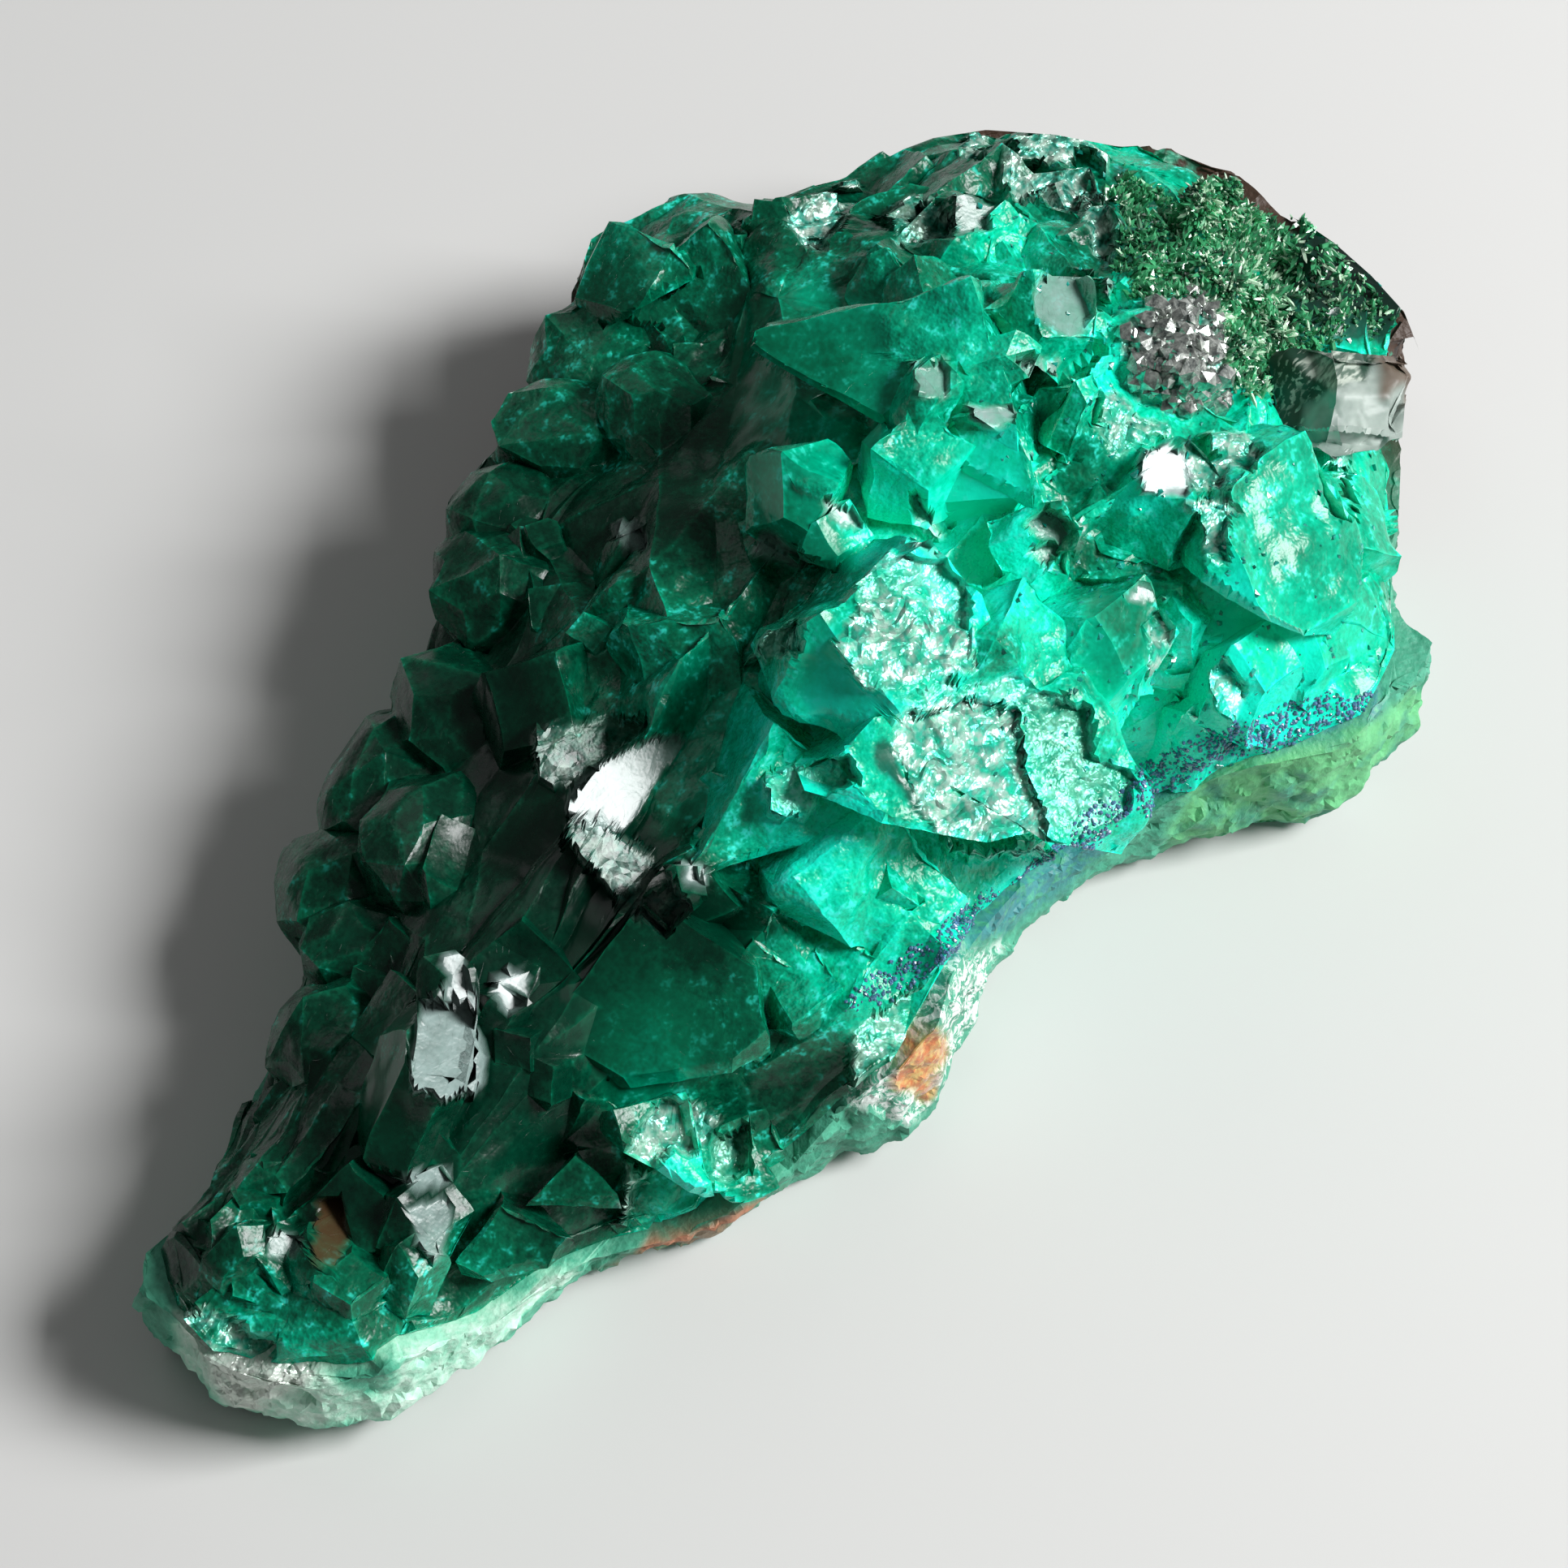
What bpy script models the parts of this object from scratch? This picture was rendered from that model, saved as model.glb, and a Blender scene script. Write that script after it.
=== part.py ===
"""A dioptase specimen: a thin plate of host rock that carries a crust of fused crystals.

Lengths are written in millimetres and turned to metres when a mesh is made. +X runs along the
specimen to its broad head, +Y runs across it, away from the side that shows its rock rim, and
+Z is up. The specimen lies on the flat underside of the rock, at Z = 0.

Three pieces are made: the rock plate, the crust of green crystals that grew on it, and one
pale crystal of another mineral that stands in a socket of the crust.
"""

import math
from dataclasses import dataclass

import bmesh
import bpy
import numpy as np
from mathutils import Matrix, Vector

MM = 0.001

# What the whole design is driven by
GAP = 0.3
SEED = 41
END_FACE_ANGLE = 51.0
MOST_SET_BACK = 0.08
GLINT_LOOKS = -78.0
GLINT_TILT = 31.0
MIDDLE_OF_BOX = (1.49, 3.285)

# How much of an outline corner is kept when the outline is rounded
CORNER_KEPT = 0.75

# The rock plate
ROCK_LEVELS = (0.0, 0.35, 1.2, 2.6, 9.0)
ROCK_BULGE = (-0.9, -0.25, 0.1, 0.0, -0.3)
RIM_WAVE = 0.22
RIM_WAVES_ROUND = 17

# The bed is the common body that the crystals grew into one another on
BED_RINGS = (1.0, 0.94, 0.82, 0.68, 0.52, 0.36, 0.18)
BED_INSET = 0.35
BED_OVERHANG = 0.15
FAR_SIDE_FROM = 4.0
BED_FLANK = 1.8
BED_BUMP = 0.4
BED_FOOT = 0.6
BED_UNEVEN = 0.42

# Small crystals that fill the bed between the large ones
SMALL_COUNT = 120
SMALL_WIDTH = (1.0, 2.8)
SMALL_LENGTH = 2.2
SMALL_STANDS_PROUD = 0.8
SMALL_UNEVEN = (0.8, 1.4)
SMALL_SHARES = (0.04, 0.80)
SMALL_LEANS = (15.0, 45.0)
SMALL_STRAYS = 40.0

# Fine crystals of the druse on the head, and the rounded knobs beside it
DRUSE_MIDDLE = (16.4, 2.2)
DRUSE_REACH = (4.2, 2.6)
DRUSE_COUNT = 30
DRUSE_WIDTH = (0.5, 0.9)
DRUSE_LENGTH = 1.2
DRUSE_STANDS_PROUD = (0.3, 0.7)
DRUSE_LEANS = 35.0
DRUSE_EDGE_SHARE = 0.55

# Outline of the plate in plan, along and across, anticlockwise from the tail
OUTLINE = (
    (-18.6, 0.4), (-18.8, -0.9), (-17.9, -2.5), (-15.9, -3.8), (-13.6, -4.2), (-11.3, -4.2),
    (-8.3, -5.3), (-5.1, -6.3), (-2.6, -7.3), (-0.1, -6.2), (1.9, -5.1), (4.6, -5.5),
    (7.3, -6.0), (9.9, -8.0), (11.9, -8.4), (14.3, -8.3), (14.3, -6.3), (17.4, -4.3),
    (19.7, -1.8), (21.7, -0.9), (21.2, 2.4), (21.2, 5.4), (19.7, 7.8), (17.9, 10.5),
    (15.8, 11.4), (13.3, 11.8), (11.1, 13.0), (9.6, 14.8), (7.4, 15.0), (5.3, 13.2),
    (1.9, 12.1), (-0.6, 11.7), (-1.3, 9.7), (-4.9, 8.5), (-7.2, 7.7), (-9.6, 6.5),
    (-10.4, 5.0), (-13.4, 4.0), (-15.9, 2.6), (-18.6, 2.2),
)

# The line that the bed rises to, along and across
SPINE = ((-15.0, 0.0), (12.5, 1.8))

# Height of the seam between rock and crystals at places along, and what it gains towards the
# near edge
SEAM_ALONG = (-20.0, -16.0, -12.5, -8.0, -5.5, -3.0, -0.8, 1.5, 4.0, 7.0, 10.3, 14.0, 22.0)
SEAM_HEIGHT = (2.9, 3.0, 1.6, 1.4, 1.8, 2.6, 3.0, 2.6, 1.8, 2.4, 3.2, 3.0, 4.6)
NEAR_EDGE_RISE = (0.0, 0.6, 0.3, 0.0, 0.4, 2.2, 2.6, 1.4, 0.8, 0.7, 1.0, 0.8, 0.0)
NEAR_EDGE_WIDTH = 5.0
SEAM_WAVE = 0.15
FAR_EDGE_LIFT = 0.14
FAR_EDGE_FROM = 4.0

# The block that cuts along the seam: half its size in plan, its faces, and its far end
CUTTER_HALF_SIZE = (25.0, 16.0)
CUTTER_FACES = (20, 11)
CUTTER_TOP = 25.0
CUTTER_BOTTOM = -6.0

# Height of the bed's crest at places along
CREST_ALONG = (-20.0, -15.0, -10.0, -5.0, 0.0, 5.0, 10.0, 14.0, 18.0, 22.0)
CREST_HEIGHT = (3.9, 4.6, 5.8, 7.0, 8.2, 9.2, 9.8, 9.0, 7.8, 6.2)


@dataclass(frozen=True)
class Crystal:
    """A six-sided crystal with three end faces that meet at its tip.

    One main face looks in a chosen direction: `looks` is its direction in plan and `tilt` its
    angle from straight up, and `points` is the way in plan that the tip lies from the face.
    `reach` and `spread` say how far the main face runs down from the tip and out to its sides,
    as shares of an even crystal's.
    """

    name: str
    tip: tuple
    width: float
    length: float
    looks: float = GLINT_LOOKS
    tilt: float = GLINT_TILT
    points: float = 50.0
    reach: float = 1.0
    spread: float = 1.0
    by_its_side: bool = False


CRYSTALS = (
    # Right-hand flank, from the nose to the middle
    Crystal("block_right", (14.2, -3.4, 9.2), 5.0, 4.0, -72, 44, 50, 1.25, 0.85),
    Crystal("block_right_low", (13.8, -5.9, 5.6), 2.2, 1.8, -75, 50, 50),
    Crystal("white_face", (11.4, -2.1, 10.0), 3.0, 3.0, points=50, reach=0.6, spread=1.35),
    Crystal("tooth", (7.9, -3.6, 9.6), 2.8, 4.2, -70, 46, 55),
    Crystal("tooth_chip", (7.7, -4.4, 9.1), 1.1, 1.9, points=50),
    Crystal("recess_block", (9.4, -3.0, 8.0), 2.5, 2.5, 175, 40, 15),
    Crystal("sliver_long", (7.9, -2.0, 9.6), 1.2, 2.3, points=-30),
    Crystal("sliver_short", (7.3, -2.1, 9.3), 0.9, 2.6, points=-5),
    Crystal("cyan_block", (5.6, -2.4, 10.6), 3.2, 3.8, -65, 50, 75),
    Crystal("foil_left", (2.8, -2.5, 10.2), 5.0, 3.0, -82, 34, 50, 1.1, 1.2),
    Crystal("foil_right", (5.3, -4.2, 9.3), 4.6, 3.4, -68, 35, 40, 1.05, 1.2),
    Crystal("flank_a", (10.6, -5.6, 6.8), 2.2, 2.8, -70, 35, 50),
    Crystal("flank_b", (9.0, -5.7, 6.0), 2.0, 3.0, -100, 50, 60),
    Crystal("flank_c", (12.3, -6.2, 5.8), 1.8, 2.2, -60, 45, 40),
    Crystal("broad_block", (-0.8, -0.6, 9.7), 6.8, 2.2, -115, 42, 65, 1.2, 1.2),
    Crystal("broad_block_low", (0.4, -3.2, 8.3), 4.2, 2.8, -100, 45, 55, 1.1, 1.2),
    # Middle
    Crystal("big_pyramid", (4.2, -0.3, 12.1), 4.6, 4.4, -90, 33, 50, 1.1, 1.1),
    Crystal("blade", (3.4, 4.8, 9.9), 2.2, 2.3, -145, 30, 100, by_its_side=True),
    Crystal("blade_cap", (4.3, 2.2, 10.2), 1.6, 1.4, points=45),
    Crystal("blade_foot", (3.9, 3.0, 8.4), 1.6, 1.4, points=-15),
    Crystal("green_peak", (8.1, 0.6, 11.3), 3.2, 2.8, -155, 45, 5),
    Crystal("smooth_block", (9.9, 3.3, 12.9), 7.6, 3.4, -150, 32, 15, 1.2, 1.0),
    Crystal("round_face", (12.5, 2.2, 11.2), 2.6, 2.4, points=15),
    Crystal("chip_a", (7.7, 2.5, 12.0), 1.1, 1.9, points=45),
    Crystal("chip_b", (9.7, 1.3, 11.6), 1.2, 1.8, points=-25),
    Crystal("chip_c", (10.5, 0.4, 11.0), 1.0, 2.0, points=45),
    Crystal("shoulder", (6.8, 2.3, 11.5), 2.4, 2.6, -115, 35, 55),
    Crystal("striped_block", (9.8, 0.1, 10.4), 3.0, 3.0, -115, 45, 65),
    Crystal("cyan_edge", (12.0, 0.9, 10.0), 2.2, 2.8, -55, 50, 65),
    # Far edge of the head
    Crystal("far_foil_a", (16.0, 8.5, 7.4), 3.6, 2.4, points=55),
    Crystal("far_foil_b", (17.1, 6.3, 7.6), 3.0, 3.0, points=25),
    Crystal("far_foil_c", (15.7, 4.7, 8.6), 2.2, 2.8, points=50),
    Crystal("far_cyan", (13.9, 6.3, 9.0), 2.6, 2.4, -75, 55, 65),
    Crystal("far_dark", (15.5, 6.1, 8.4), 2.4, 2.6, -175, 45, 15),
    Crystal("far_foil_d", (12.4, 10.3, 7.0), 2.6, 2.4, points=15),
    Crystal("far_foil_e", (13.5, 6.8, 8.6), 2.0, 3.0, points=45),
    Crystal("far_teal", (15.2, 10.1, 6.0), 3.2, 1.8, -105, 35, 55),
    Crystal("corner_block", (9.0, 11.7, 7.8), 4.6, 2.4, -165, 33, 25),
    Crystal("corner_low", (7.6, 13.6, 6.8), 3.0, 2.0, 145, 35, 55),
    # Ridge left of the middle
    Crystal("ridge_a", (0.9, 2.7, 9.0), 3.6, 2.4, -145, 40, 15),
    Crystal("ridge_b", (-2.3, 5.0, 8.0), 3.0, 3.0, -175, 40, 5),
    Crystal("ridge_chip", (1.5, 1.0, 9.6), 1.4, 2.1, points=75),
    Crystal("dark_chip", (1.8, 6.4, 7.4), 1.1, 1.9, points=45),
    # Tail half
    Crystal("mirror", (-2.5, 0.7, 9.6), 2.5, 3.2, points=2, by_its_side=True),
    Crystal("dark_wedge", (-3.8, -0.8, 8.0), 2.6, 2.4, -145, 50, 35),
    Crystal("stepped_chip", (-4.1, -1.5, 8.4), 0.9, 1.6, points=15),
    Crystal("dark_gem", (-5.2, -0.9, 7.8), 4.6, 3.4, -140, 40, 50, 1.3, 0.9),
    Crystal("dark_gem_side", (-3.9, -2.9, 6.6), 3.6, 2.4, -125, 45, 55),
    Crystal("pale_face", (-10.1, 0.6, 7.4), 2.1, 3.9, points=50, reach=1.25, spread=0.85),
    Crystal("pale_tip", (-9.3, 1.0, 7.9), 1.2, 2.8, points=45, by_its_side=True),
    Crystal("oval_chip", (-8.5, 0.0, 6.8), 1.0, 2.0, points=50),
    Crystal("behind_gem", (-7.3, 1.1, 7.0), 3.0, 3.0, -155, 40, 35),
    Crystal("left_block", (-9.9, 2.8, 5.4), 2.6, 2.4, 135, 40, 45),
    Crystal("broken_a", (-12.4, -1.7, 5.4), 1.8, 2.2, points=45),
    Crystal("broken_b", (-13.4, -2.3, 5.0), 1.4, 2.1, points=45),
    Crystal("brown_block", (-13.7, 0.0, 5.4), 3.0, 2.0, -165, 35, 35),
    Crystal("tail_chip", (-15.9, 0.2, 4.8), 1.2, 1.8, points=15),
    Crystal("tail_dark", (-16.8, 1.9, 3.8), 2.4, 1.1, 135, 40, 55),
    Crystal("tail_block", (-16.9, 0.0, 4.4), 2.2, 1.8, -145, 35, 35),
    Crystal("tail_side", (-14.5, -2.2, 4.4), 1.6, 2.4, -105, 40, 35),
    Crystal("low_dark_a", (-10.0, -3.2, 5.0), 4.0, 1.0, -125, 30, 45),
    Crystal("low_dark_b", (-11.8, -2.9, 4.8), 2.6, 1.4, -135, 35, 55),
    Crystal("low_foil", (-7.1, -4.1, 4.8), 3.0, 1.5, points=25),
    Crystal("low_green_a", (-6.2, -5.3, 4.0), 2.6, 1.4, -105, 50, 35),
    Crystal("low_green_b", (-5.6, -5.2, 3.4), 1.8, 1.2, -105, 50, 35),
)

# Rounded knobs: middle in millimetres and radius
KNOBS = (
    ((12.1, 0.8, 9.5), 0.85), ((12.8, 1.0, 9.5), 0.75), ((13.3, 0.3, 9.2), 0.85),
    ((12.5, -0.2, 9.4), 0.8), ((13.8, 1.1, 9.0), 0.65), ((12.0, 1.5, 9.7), 0.55),
    ((13.4, -0.5, 8.9), 0.7), ((-6.0, 7.0, 3.8), 1.8), ((-8.3, 5.8, 3.3), 1.9),
    ((-7.0, 4.7, 4.6), 1.8), ((-4.0, 6.8, 4.6), 1.8), ((-9.4, 4.3, 3.7), 1.5),
    ((-0.8, 8.6, 5.0), 1.8), ((0.8, 9.9, 4.6), 1.7), ((3.0, 10.6, 5.2), 1.7),
    ((4.6, 9.0, 6.4), 1.6), ((-11.6, 3.1, 3.8), 1.5), ((5.6, 12.0, 4.8), 1.6),
)
KNOB_SHAPE = (1.15, 0.9, 0.75)
KNOB_DENT = 0.14

# The pale crystal of another mineral, at the head's right edge
PALE_TIP = (17.1, -1.9, 8.2)
PALE_WIDTH = 3.3
PALE_LENGTH = 2.6
PALE_LOOKS = -70.0
PALE_TILT = 40.0
PALE_POINTS = 95.0


def clear_scene():
    """Remove whatever the scene starts with."""
    for thing in list(bpy.data.objects):
        bpy.data.objects.remove(thing, do_unlink=True)


def material(name, colour, roughness, metallic=0.0):
    """A plain material with the piece's own colour."""
    made = bpy.data.materials.new(name)
    made.use_nodes = True
    shader = made.node_tree.nodes["Principled BSDF"]
    shader.inputs["Base Color"].default_value = (*colour, 1.0)
    shader.inputs["Roughness"].default_value = roughness
    shader.inputs["Metallic"].default_value = metallic
    return made


def add_object(name, bm, paint=None, helper=False):
    """Put a mesh drawn in millimetres into the scene; a helper is neither rendered nor built."""
    bmesh.ops.scale(bm, vec=(MM, MM, MM), verts=bm.verts)
    bmesh.ops.recalc_face_normals(bm, faces=bm.faces)
    mesh = bpy.data.meshes.new(name)
    bm.to_mesh(mesh)
    bm.free()
    made = bpy.data.objects.new(name, mesh)
    if paint:
        mesh.materials.append(paint)
    if helper:
        made.hide_render = True
        made.display_type = "WIRE"
    bpy.context.scene.collection.objects.link(made)
    return made


def boolean(target, operation, other):
    """Add a Boolean that joins or cuts the target with an object or a collection."""
    step = target.modifiers.new(f"{operation} {other.name}", "BOOLEAN")
    step.operation = operation
    step.solver = "EXACT"
    if isinstance(other, bpy.types.Collection):
        step.operand_type = "COLLECTION"
        step.collection = other
        step.use_self = True
    else:
        step.object = other


def plan_direction(degrees):
    """The unit vector that points that way in plan."""
    return Vector((math.cos(math.radians(degrees)), math.sin(math.radians(degrees)), 0.0))


def outline_points(inset=0.0, wave=0.0):
    """The plate's outline with its corners rounded, drawn in by `inset` and made wavy."""
    corners = np.array(OUTLINE)
    before, after = np.roll(corners, 1, axis=0), np.roll(corners, -1, axis=0)
    kept = corners * CORNER_KEPT
    one_side = kept + before * (1.0 - CORNER_KEPT)
    other_side = kept + after * (1.0 - CORNER_KEPT)
    loop = np.stack([one_side, other_side], axis=1).reshape(-1, 2)
    step = np.roll(loop, -1, axis=0) - np.roll(loop, 1, axis=0)
    inward = np.stack([-step[:, 1], step[:, 0]], axis=1)
    inward /= np.linalg.norm(inward, axis=1)[:, None]
    turn = np.linspace(0.0, 2.0 * math.pi, len(loop), endpoint=False)
    ripple = wave * np.sin(RIM_WAVES_ROUND * turn) * np.cos(5.0 * turn + 1.0)
    return loop + inward * (inset + ripple)[:, None]


def seam_height(along, across):
    """Height of the seam: it rises and falls along the rim, and lifts at both long edges."""
    along, across = np.asarray(along), np.asarray(across)
    near = np.clip(-across / NEAR_EDGE_WIDTH, 0.0, 1.0)
    level = np.interp(along, SEAM_ALONG, SEAM_HEIGHT)
    level = level + near * np.interp(along, SEAM_ALONG, NEAR_EDGE_RISE)
    wave = SEAM_WAVE * np.sin(1.3 * along + 0.7 * across)
    return level + wave + FAR_EDGE_LIFT * np.clip(across - FAR_EDGE_FROM, 0.0, None)


def bed_height(along, across, share):
    """Height of the bed at a share of the way from its spine (0) out to its edge (1)."""
    rim = seam_height(along, across) + GAP
    crest = np.interp(along, CREST_ALONG, CREST_HEIGHT)
    bump = BED_BUMP * np.sin(1.7 * along + 0.4) * np.cos(1.5 * across - 0.6)
    return rim + (crest - rim) * (1.0 - share**BED_FLANK) + bump * (1.0 - share**4)


def nearest_on_spine(points):
    """The spine's point nearest to each plan point."""
    start, end = np.array(SPINE[0]), np.array(SPINE[1])
    run = end - start
    part = np.clip((points - start) @ run / (run @ run), 0.0, 1.0)
    return start + part[:, None] * run


def loft(rings):
    """A closed body through rings of equally many points, with a flat face at each end."""
    bm = bmesh.new()
    loops = [[bm.verts.new(point) for point in ring] for ring in rings]
    count = len(rings[0])
    for low, high in zip(loops, loops[1:]):
        for i in range(count):
            j = (i + 1) % count
            bm.faces.new((low[i], low[j], high[j], high[i]))
    bm.faces.new(loops[0])
    bm.faces.new(loops[-1])
    return bm


def seam_cutter(name, lift, above):
    """A block whose one side is the seam's surface, raised by `lift`; it lies above or below it."""
    bm = bmesh.new()
    bmesh.ops.create_grid(bm, x_segments=CUTTER_FACES[0], y_segments=CUTTER_FACES[1], size=1.0)
    for vert in bm.verts:
        along = vert.co.x * CUTTER_HALF_SIZE[0] + MIDDLE_OF_BOX[0]
        across = vert.co.y * CUTTER_HALF_SIZE[1] + MIDDLE_OF_BOX[1]
        vert.co = (along, across, float(seam_height(along, across)) + lift)
    far = CUTTER_TOP if above else CUTTER_BOTTOM
    edge = [e for e in bm.edges if e.is_boundary]
    wall = bmesh.ops.extrude_edge_only(bm, edges=edge)["geom"]
    for vert in (v for v in wall if isinstance(v, bmesh.types.BMVert)):
        vert.co.z = far
    bmesh.ops.edgeloop_fill(bm, edges=[e for e in bm.edges if e.is_boundary])
    return add_object(name, bm, helper=True)


def rock_plate(paint):
    """The host rock: the outline carried up through its levels, cut along the seam."""
    rings = []
    for level, bulge in zip(ROCK_LEVELS, ROCK_BULGE):
        loop = outline_points(-bulge, RIM_WAVE if level else 0.0)
        rings.append([(x, y, level) for x, y in loop])
    made = add_object("matrix", loft(rings), paint)
    boolean(made, "DIFFERENCE", seam_cutter("above_seam", 0.0, above=True))


def bed_edge():
    """The bed's edge: inside the rock's on the near side, a little over it on the far side."""
    far = np.clip(outline_points()[:, 1] / FAR_SIDE_FROM, 0.0, 1.0)
    return outline_points(BED_INSET - far * (BED_INSET + BED_OVERHANG), RIM_WAVE)[::2]


def crystal_bed(chance):
    """The bed: rings drawn in from the outline towards the spine, each at the bed's height.

    Inside the edge every point is moved a little at random, which breaks the bed into flat
    faces of the size that broken crystals show.
    """
    edge = bed_edge()
    spine = nearest_on_spine(edge)
    rings = [[(x, y, BED_FOOT) for x, y in edge]]
    for share in BED_RINGS:
        plan = spine + (edge - spine) * share
        height = bed_height(plan[:, 0], plan[:, 1], share)
        ring = np.column_stack([plan, height])
        freedom = np.array([share, share, 2.0]) * (BED_UNEVEN / 2 if share < 1.0 else 0.0)
        rings.append(ring + chance.uniform(-1.0, 1.0, ring.shape) * freedom)
    return loft(rings)


def cut_off(bm, point, normal):
    """Cut away what lies beyond a plane, and close the cut with a flat face."""
    cut = bmesh.ops.bisect_plane(
        bm, geom=bm.verts[:] + bm.edges[:] + bm.faces[:], dist=1e-5,
        plane_co=point, plane_no=normal, clear_outer=True,
    )
    rim = [piece for piece in cut["geom_cut"] if isinstance(piece, bmesh.types.BMEdge)]
    if rim:
        bmesh.ops.edgeloop_fill(bm, edges=rim)


def crystal_mesh(width, length, reach=1.0, spread=1.0, set_backs=(0.04, 0.08)):
    """A crystal with its tip at the origin and its axis along +Z, hanging down from the tip.

    A block is cut by six side planes and three end planes. The main end face looks to +X: the
    two side planes under it stand `reach` times the even distance off, the two beside it
    `spread` times, and the other two end faces are set back from the tip by shares of the width.
    """
    bm = bmesh.new()
    block = 2.0 * width * max(reach, spread)
    middle = Matrix.Translation((0, 0, (width - length) / 2))
    stretch = Matrix.Diagonal((block, block, width + length, 1))
    bmesh.ops.create_cube(bm, size=1.0, matrix=middle @ stretch)
    for turn in range(30, 360, 60):
        off = reach if turn in (30, 330) else spread if turn in (90, 270) else 1.0
        away = plan_direction(turn)
        cut_off(bm, away * off * width / 2, away)
    slope = math.radians(END_FACE_ANGLE)
    for turn, set_back in zip((0, 120, 240), (0.0, *set_backs)):
        normal = plan_direction(turn) * math.sin(slope) + Vector((0, 0, math.cos(slope)))
        cut_off(bm, -normal * set_back * width, normal)
    return bm


def main_face_turn(looks, tilt, points, by_its_side):
    """The rotation that makes a crystal's main face look one way and its tip point another."""
    lean = math.radians(tilt)
    normal = plan_direction(looks) * math.sin(lean) + Vector((0, 0, math.cos(lean)))
    ahead = plan_direction(points)
    ahead = (ahead - normal * ahead.dot(normal)).normalized()
    if by_its_side:
        own_normal, own_ahead = plan_direction(30), Vector((0, 0, 1))
    else:
        slope = math.radians(END_FACE_ANGLE)
        own_normal = Vector((math.sin(slope), 0, math.cos(slope)))
        own_ahead = Vector((-math.cos(slope), 0, math.sin(slope)))
    own = Matrix((own_normal, own_ahead, own_normal.cross(own_ahead)))
    wanted = Matrix((normal, ahead, normal.cross(ahead))).transposed()
    return (wanted @ own).to_4x4()


def place_crystal(group, crystal, chance):
    """Make one crystal as a helper of the crust, its lesser end faces set back unevenly."""
    set_backs = chance.uniform(0.0, MOST_SET_BACK, 2)
    bm = crystal_mesh(crystal.width, crystal.length, crystal.reach, crystal.spread, set_backs)
    turn = main_face_turn(crystal.looks, crystal.tilt, crystal.points, crystal.by_its_side)
    bmesh.ops.transform(bm, matrix=Matrix.Translation(crystal.tip) @ turn, verts=bm.verts)
    made = add_object(f"crystal_{crystal.name}", bm, helper=True)
    group.objects.link(made)


def outward_turn(lean_to, lean, spin):
    """A rotation that leans a crystal's axis out towards a direction in plan."""
    tip_over = Matrix.Rotation(math.radians(lean), 4, plan_direction(lean_to + 90))
    return tip_over @ Matrix.Rotation(math.radians(spin), 4, "Z")


def small_crystals(group, chance):
    """Crystals scattered over the bed, each leaning out from the spine at random."""
    edge = bed_edge()
    spine = nearest_on_spine(edge)
    for number in range(SMALL_COUNT):
        at = chance.integers(len(edge))
        share = math.sqrt(chance.uniform(*SMALL_SHARES))
        x, y = spine[at] + (edge[at] - spine[at]) * share
        height = float(bed_height(x, y, share)) + SMALL_STANDS_PROUD * chance.uniform(0.5, 1.0)
        out = math.degrees(math.atan2(*(edge[at] - spine[at])[::-1]))
        out += chance.uniform(-SMALL_STRAYS, SMALL_STRAYS)
        lean = SMALL_LEANS[0] + SMALL_LEANS[1] * share * chance.uniform(0.5, 1.0)
        turn = outward_turn(out, lean, chance.uniform(0, 120))
        uneven = chance.uniform(*SMALL_UNEVEN, 2)
        bm = crystal_mesh(chance.uniform(*SMALL_WIDTH), SMALL_LENGTH, *uneven)
        bmesh.ops.transform(bm, matrix=Matrix.Translation((x, y, height)) @ turn, verts=bm.verts)
        group.objects.link(add_object(f"small_{number:03d}", bm, helper=True))


def druse_crystals(group, chance):
    """The fine druse: short crystals packed on the head, more of them near its middle."""
    middle = Vector((*DRUSE_MIDDLE, 0.0))
    for number in range(DRUSE_COUNT):
        way = chance.uniform(0, 360)
        reach = math.sqrt(chance.uniform())
        off = plan_direction(way) * reach
        x, y = middle.x + off.x * DRUSE_REACH[0], middle.y + off.y * DRUSE_REACH[1]
        height = float(bed_height(x, y, DRUSE_EDGE_SHARE * reach))
        height += chance.uniform(*DRUSE_STANDS_PROUD)
        turn = outward_turn(way, DRUSE_LEANS * reach, chance.uniform(0, 120))
        bm = crystal_mesh(chance.uniform(*DRUSE_WIDTH), DRUSE_LENGTH)
        bmesh.ops.transform(bm, matrix=Matrix.Translation((x, y, height)) @ turn, verts=bm.verts)
        group.objects.link(add_object(f"druse_{number:03d}", bm, helper=True))


def knobs(group, chance):
    """Rounded knobs: coarse spheres, flattened, turned and dented a little."""
    for number, (middle, radius) in enumerate(KNOBS):
        bm = bmesh.new()
        bmesh.ops.create_icosphere(bm, subdivisions=2, radius=radius)
        for vert in bm.verts:
            vert.co *= 1.0 + chance.uniform(-KNOB_DENT, KNOB_DENT)
        turn = Matrix.Rotation(math.radians(chance.uniform(0, 180)), 4, "Z")
        placed = Matrix.Translation(middle) @ turn @ Matrix.Diagonal((*KNOB_SHAPE, 1))
        bmesh.ops.transform(bm, matrix=placed, verts=bm.verts)
        group.objects.link(add_object(f"knob_{number:02d}", bm, helper=True))


def pale_crystal_mesh(grown_by=0.0):
    """The pale crystal, or a body `grown_by` larger all round, which cuts its socket."""
    width = PALE_WIDTH + 2 * grown_by
    rise = grown_by / math.cos(math.radians(END_FACE_ANGLE))
    length = PALE_LENGTH + grown_by + rise
    bm = crystal_mesh(width, length, set_backs=(0.0, 0.0))
    turn = main_face_turn(PALE_LOOKS, PALE_TILT, PALE_POINTS, False)
    placed = Matrix.Translation(PALE_TIP) @ turn @ Matrix.Translation((0, 0, rise))
    bmesh.ops.transform(bm, matrix=placed, verts=bm.verts)
    return bm


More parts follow.
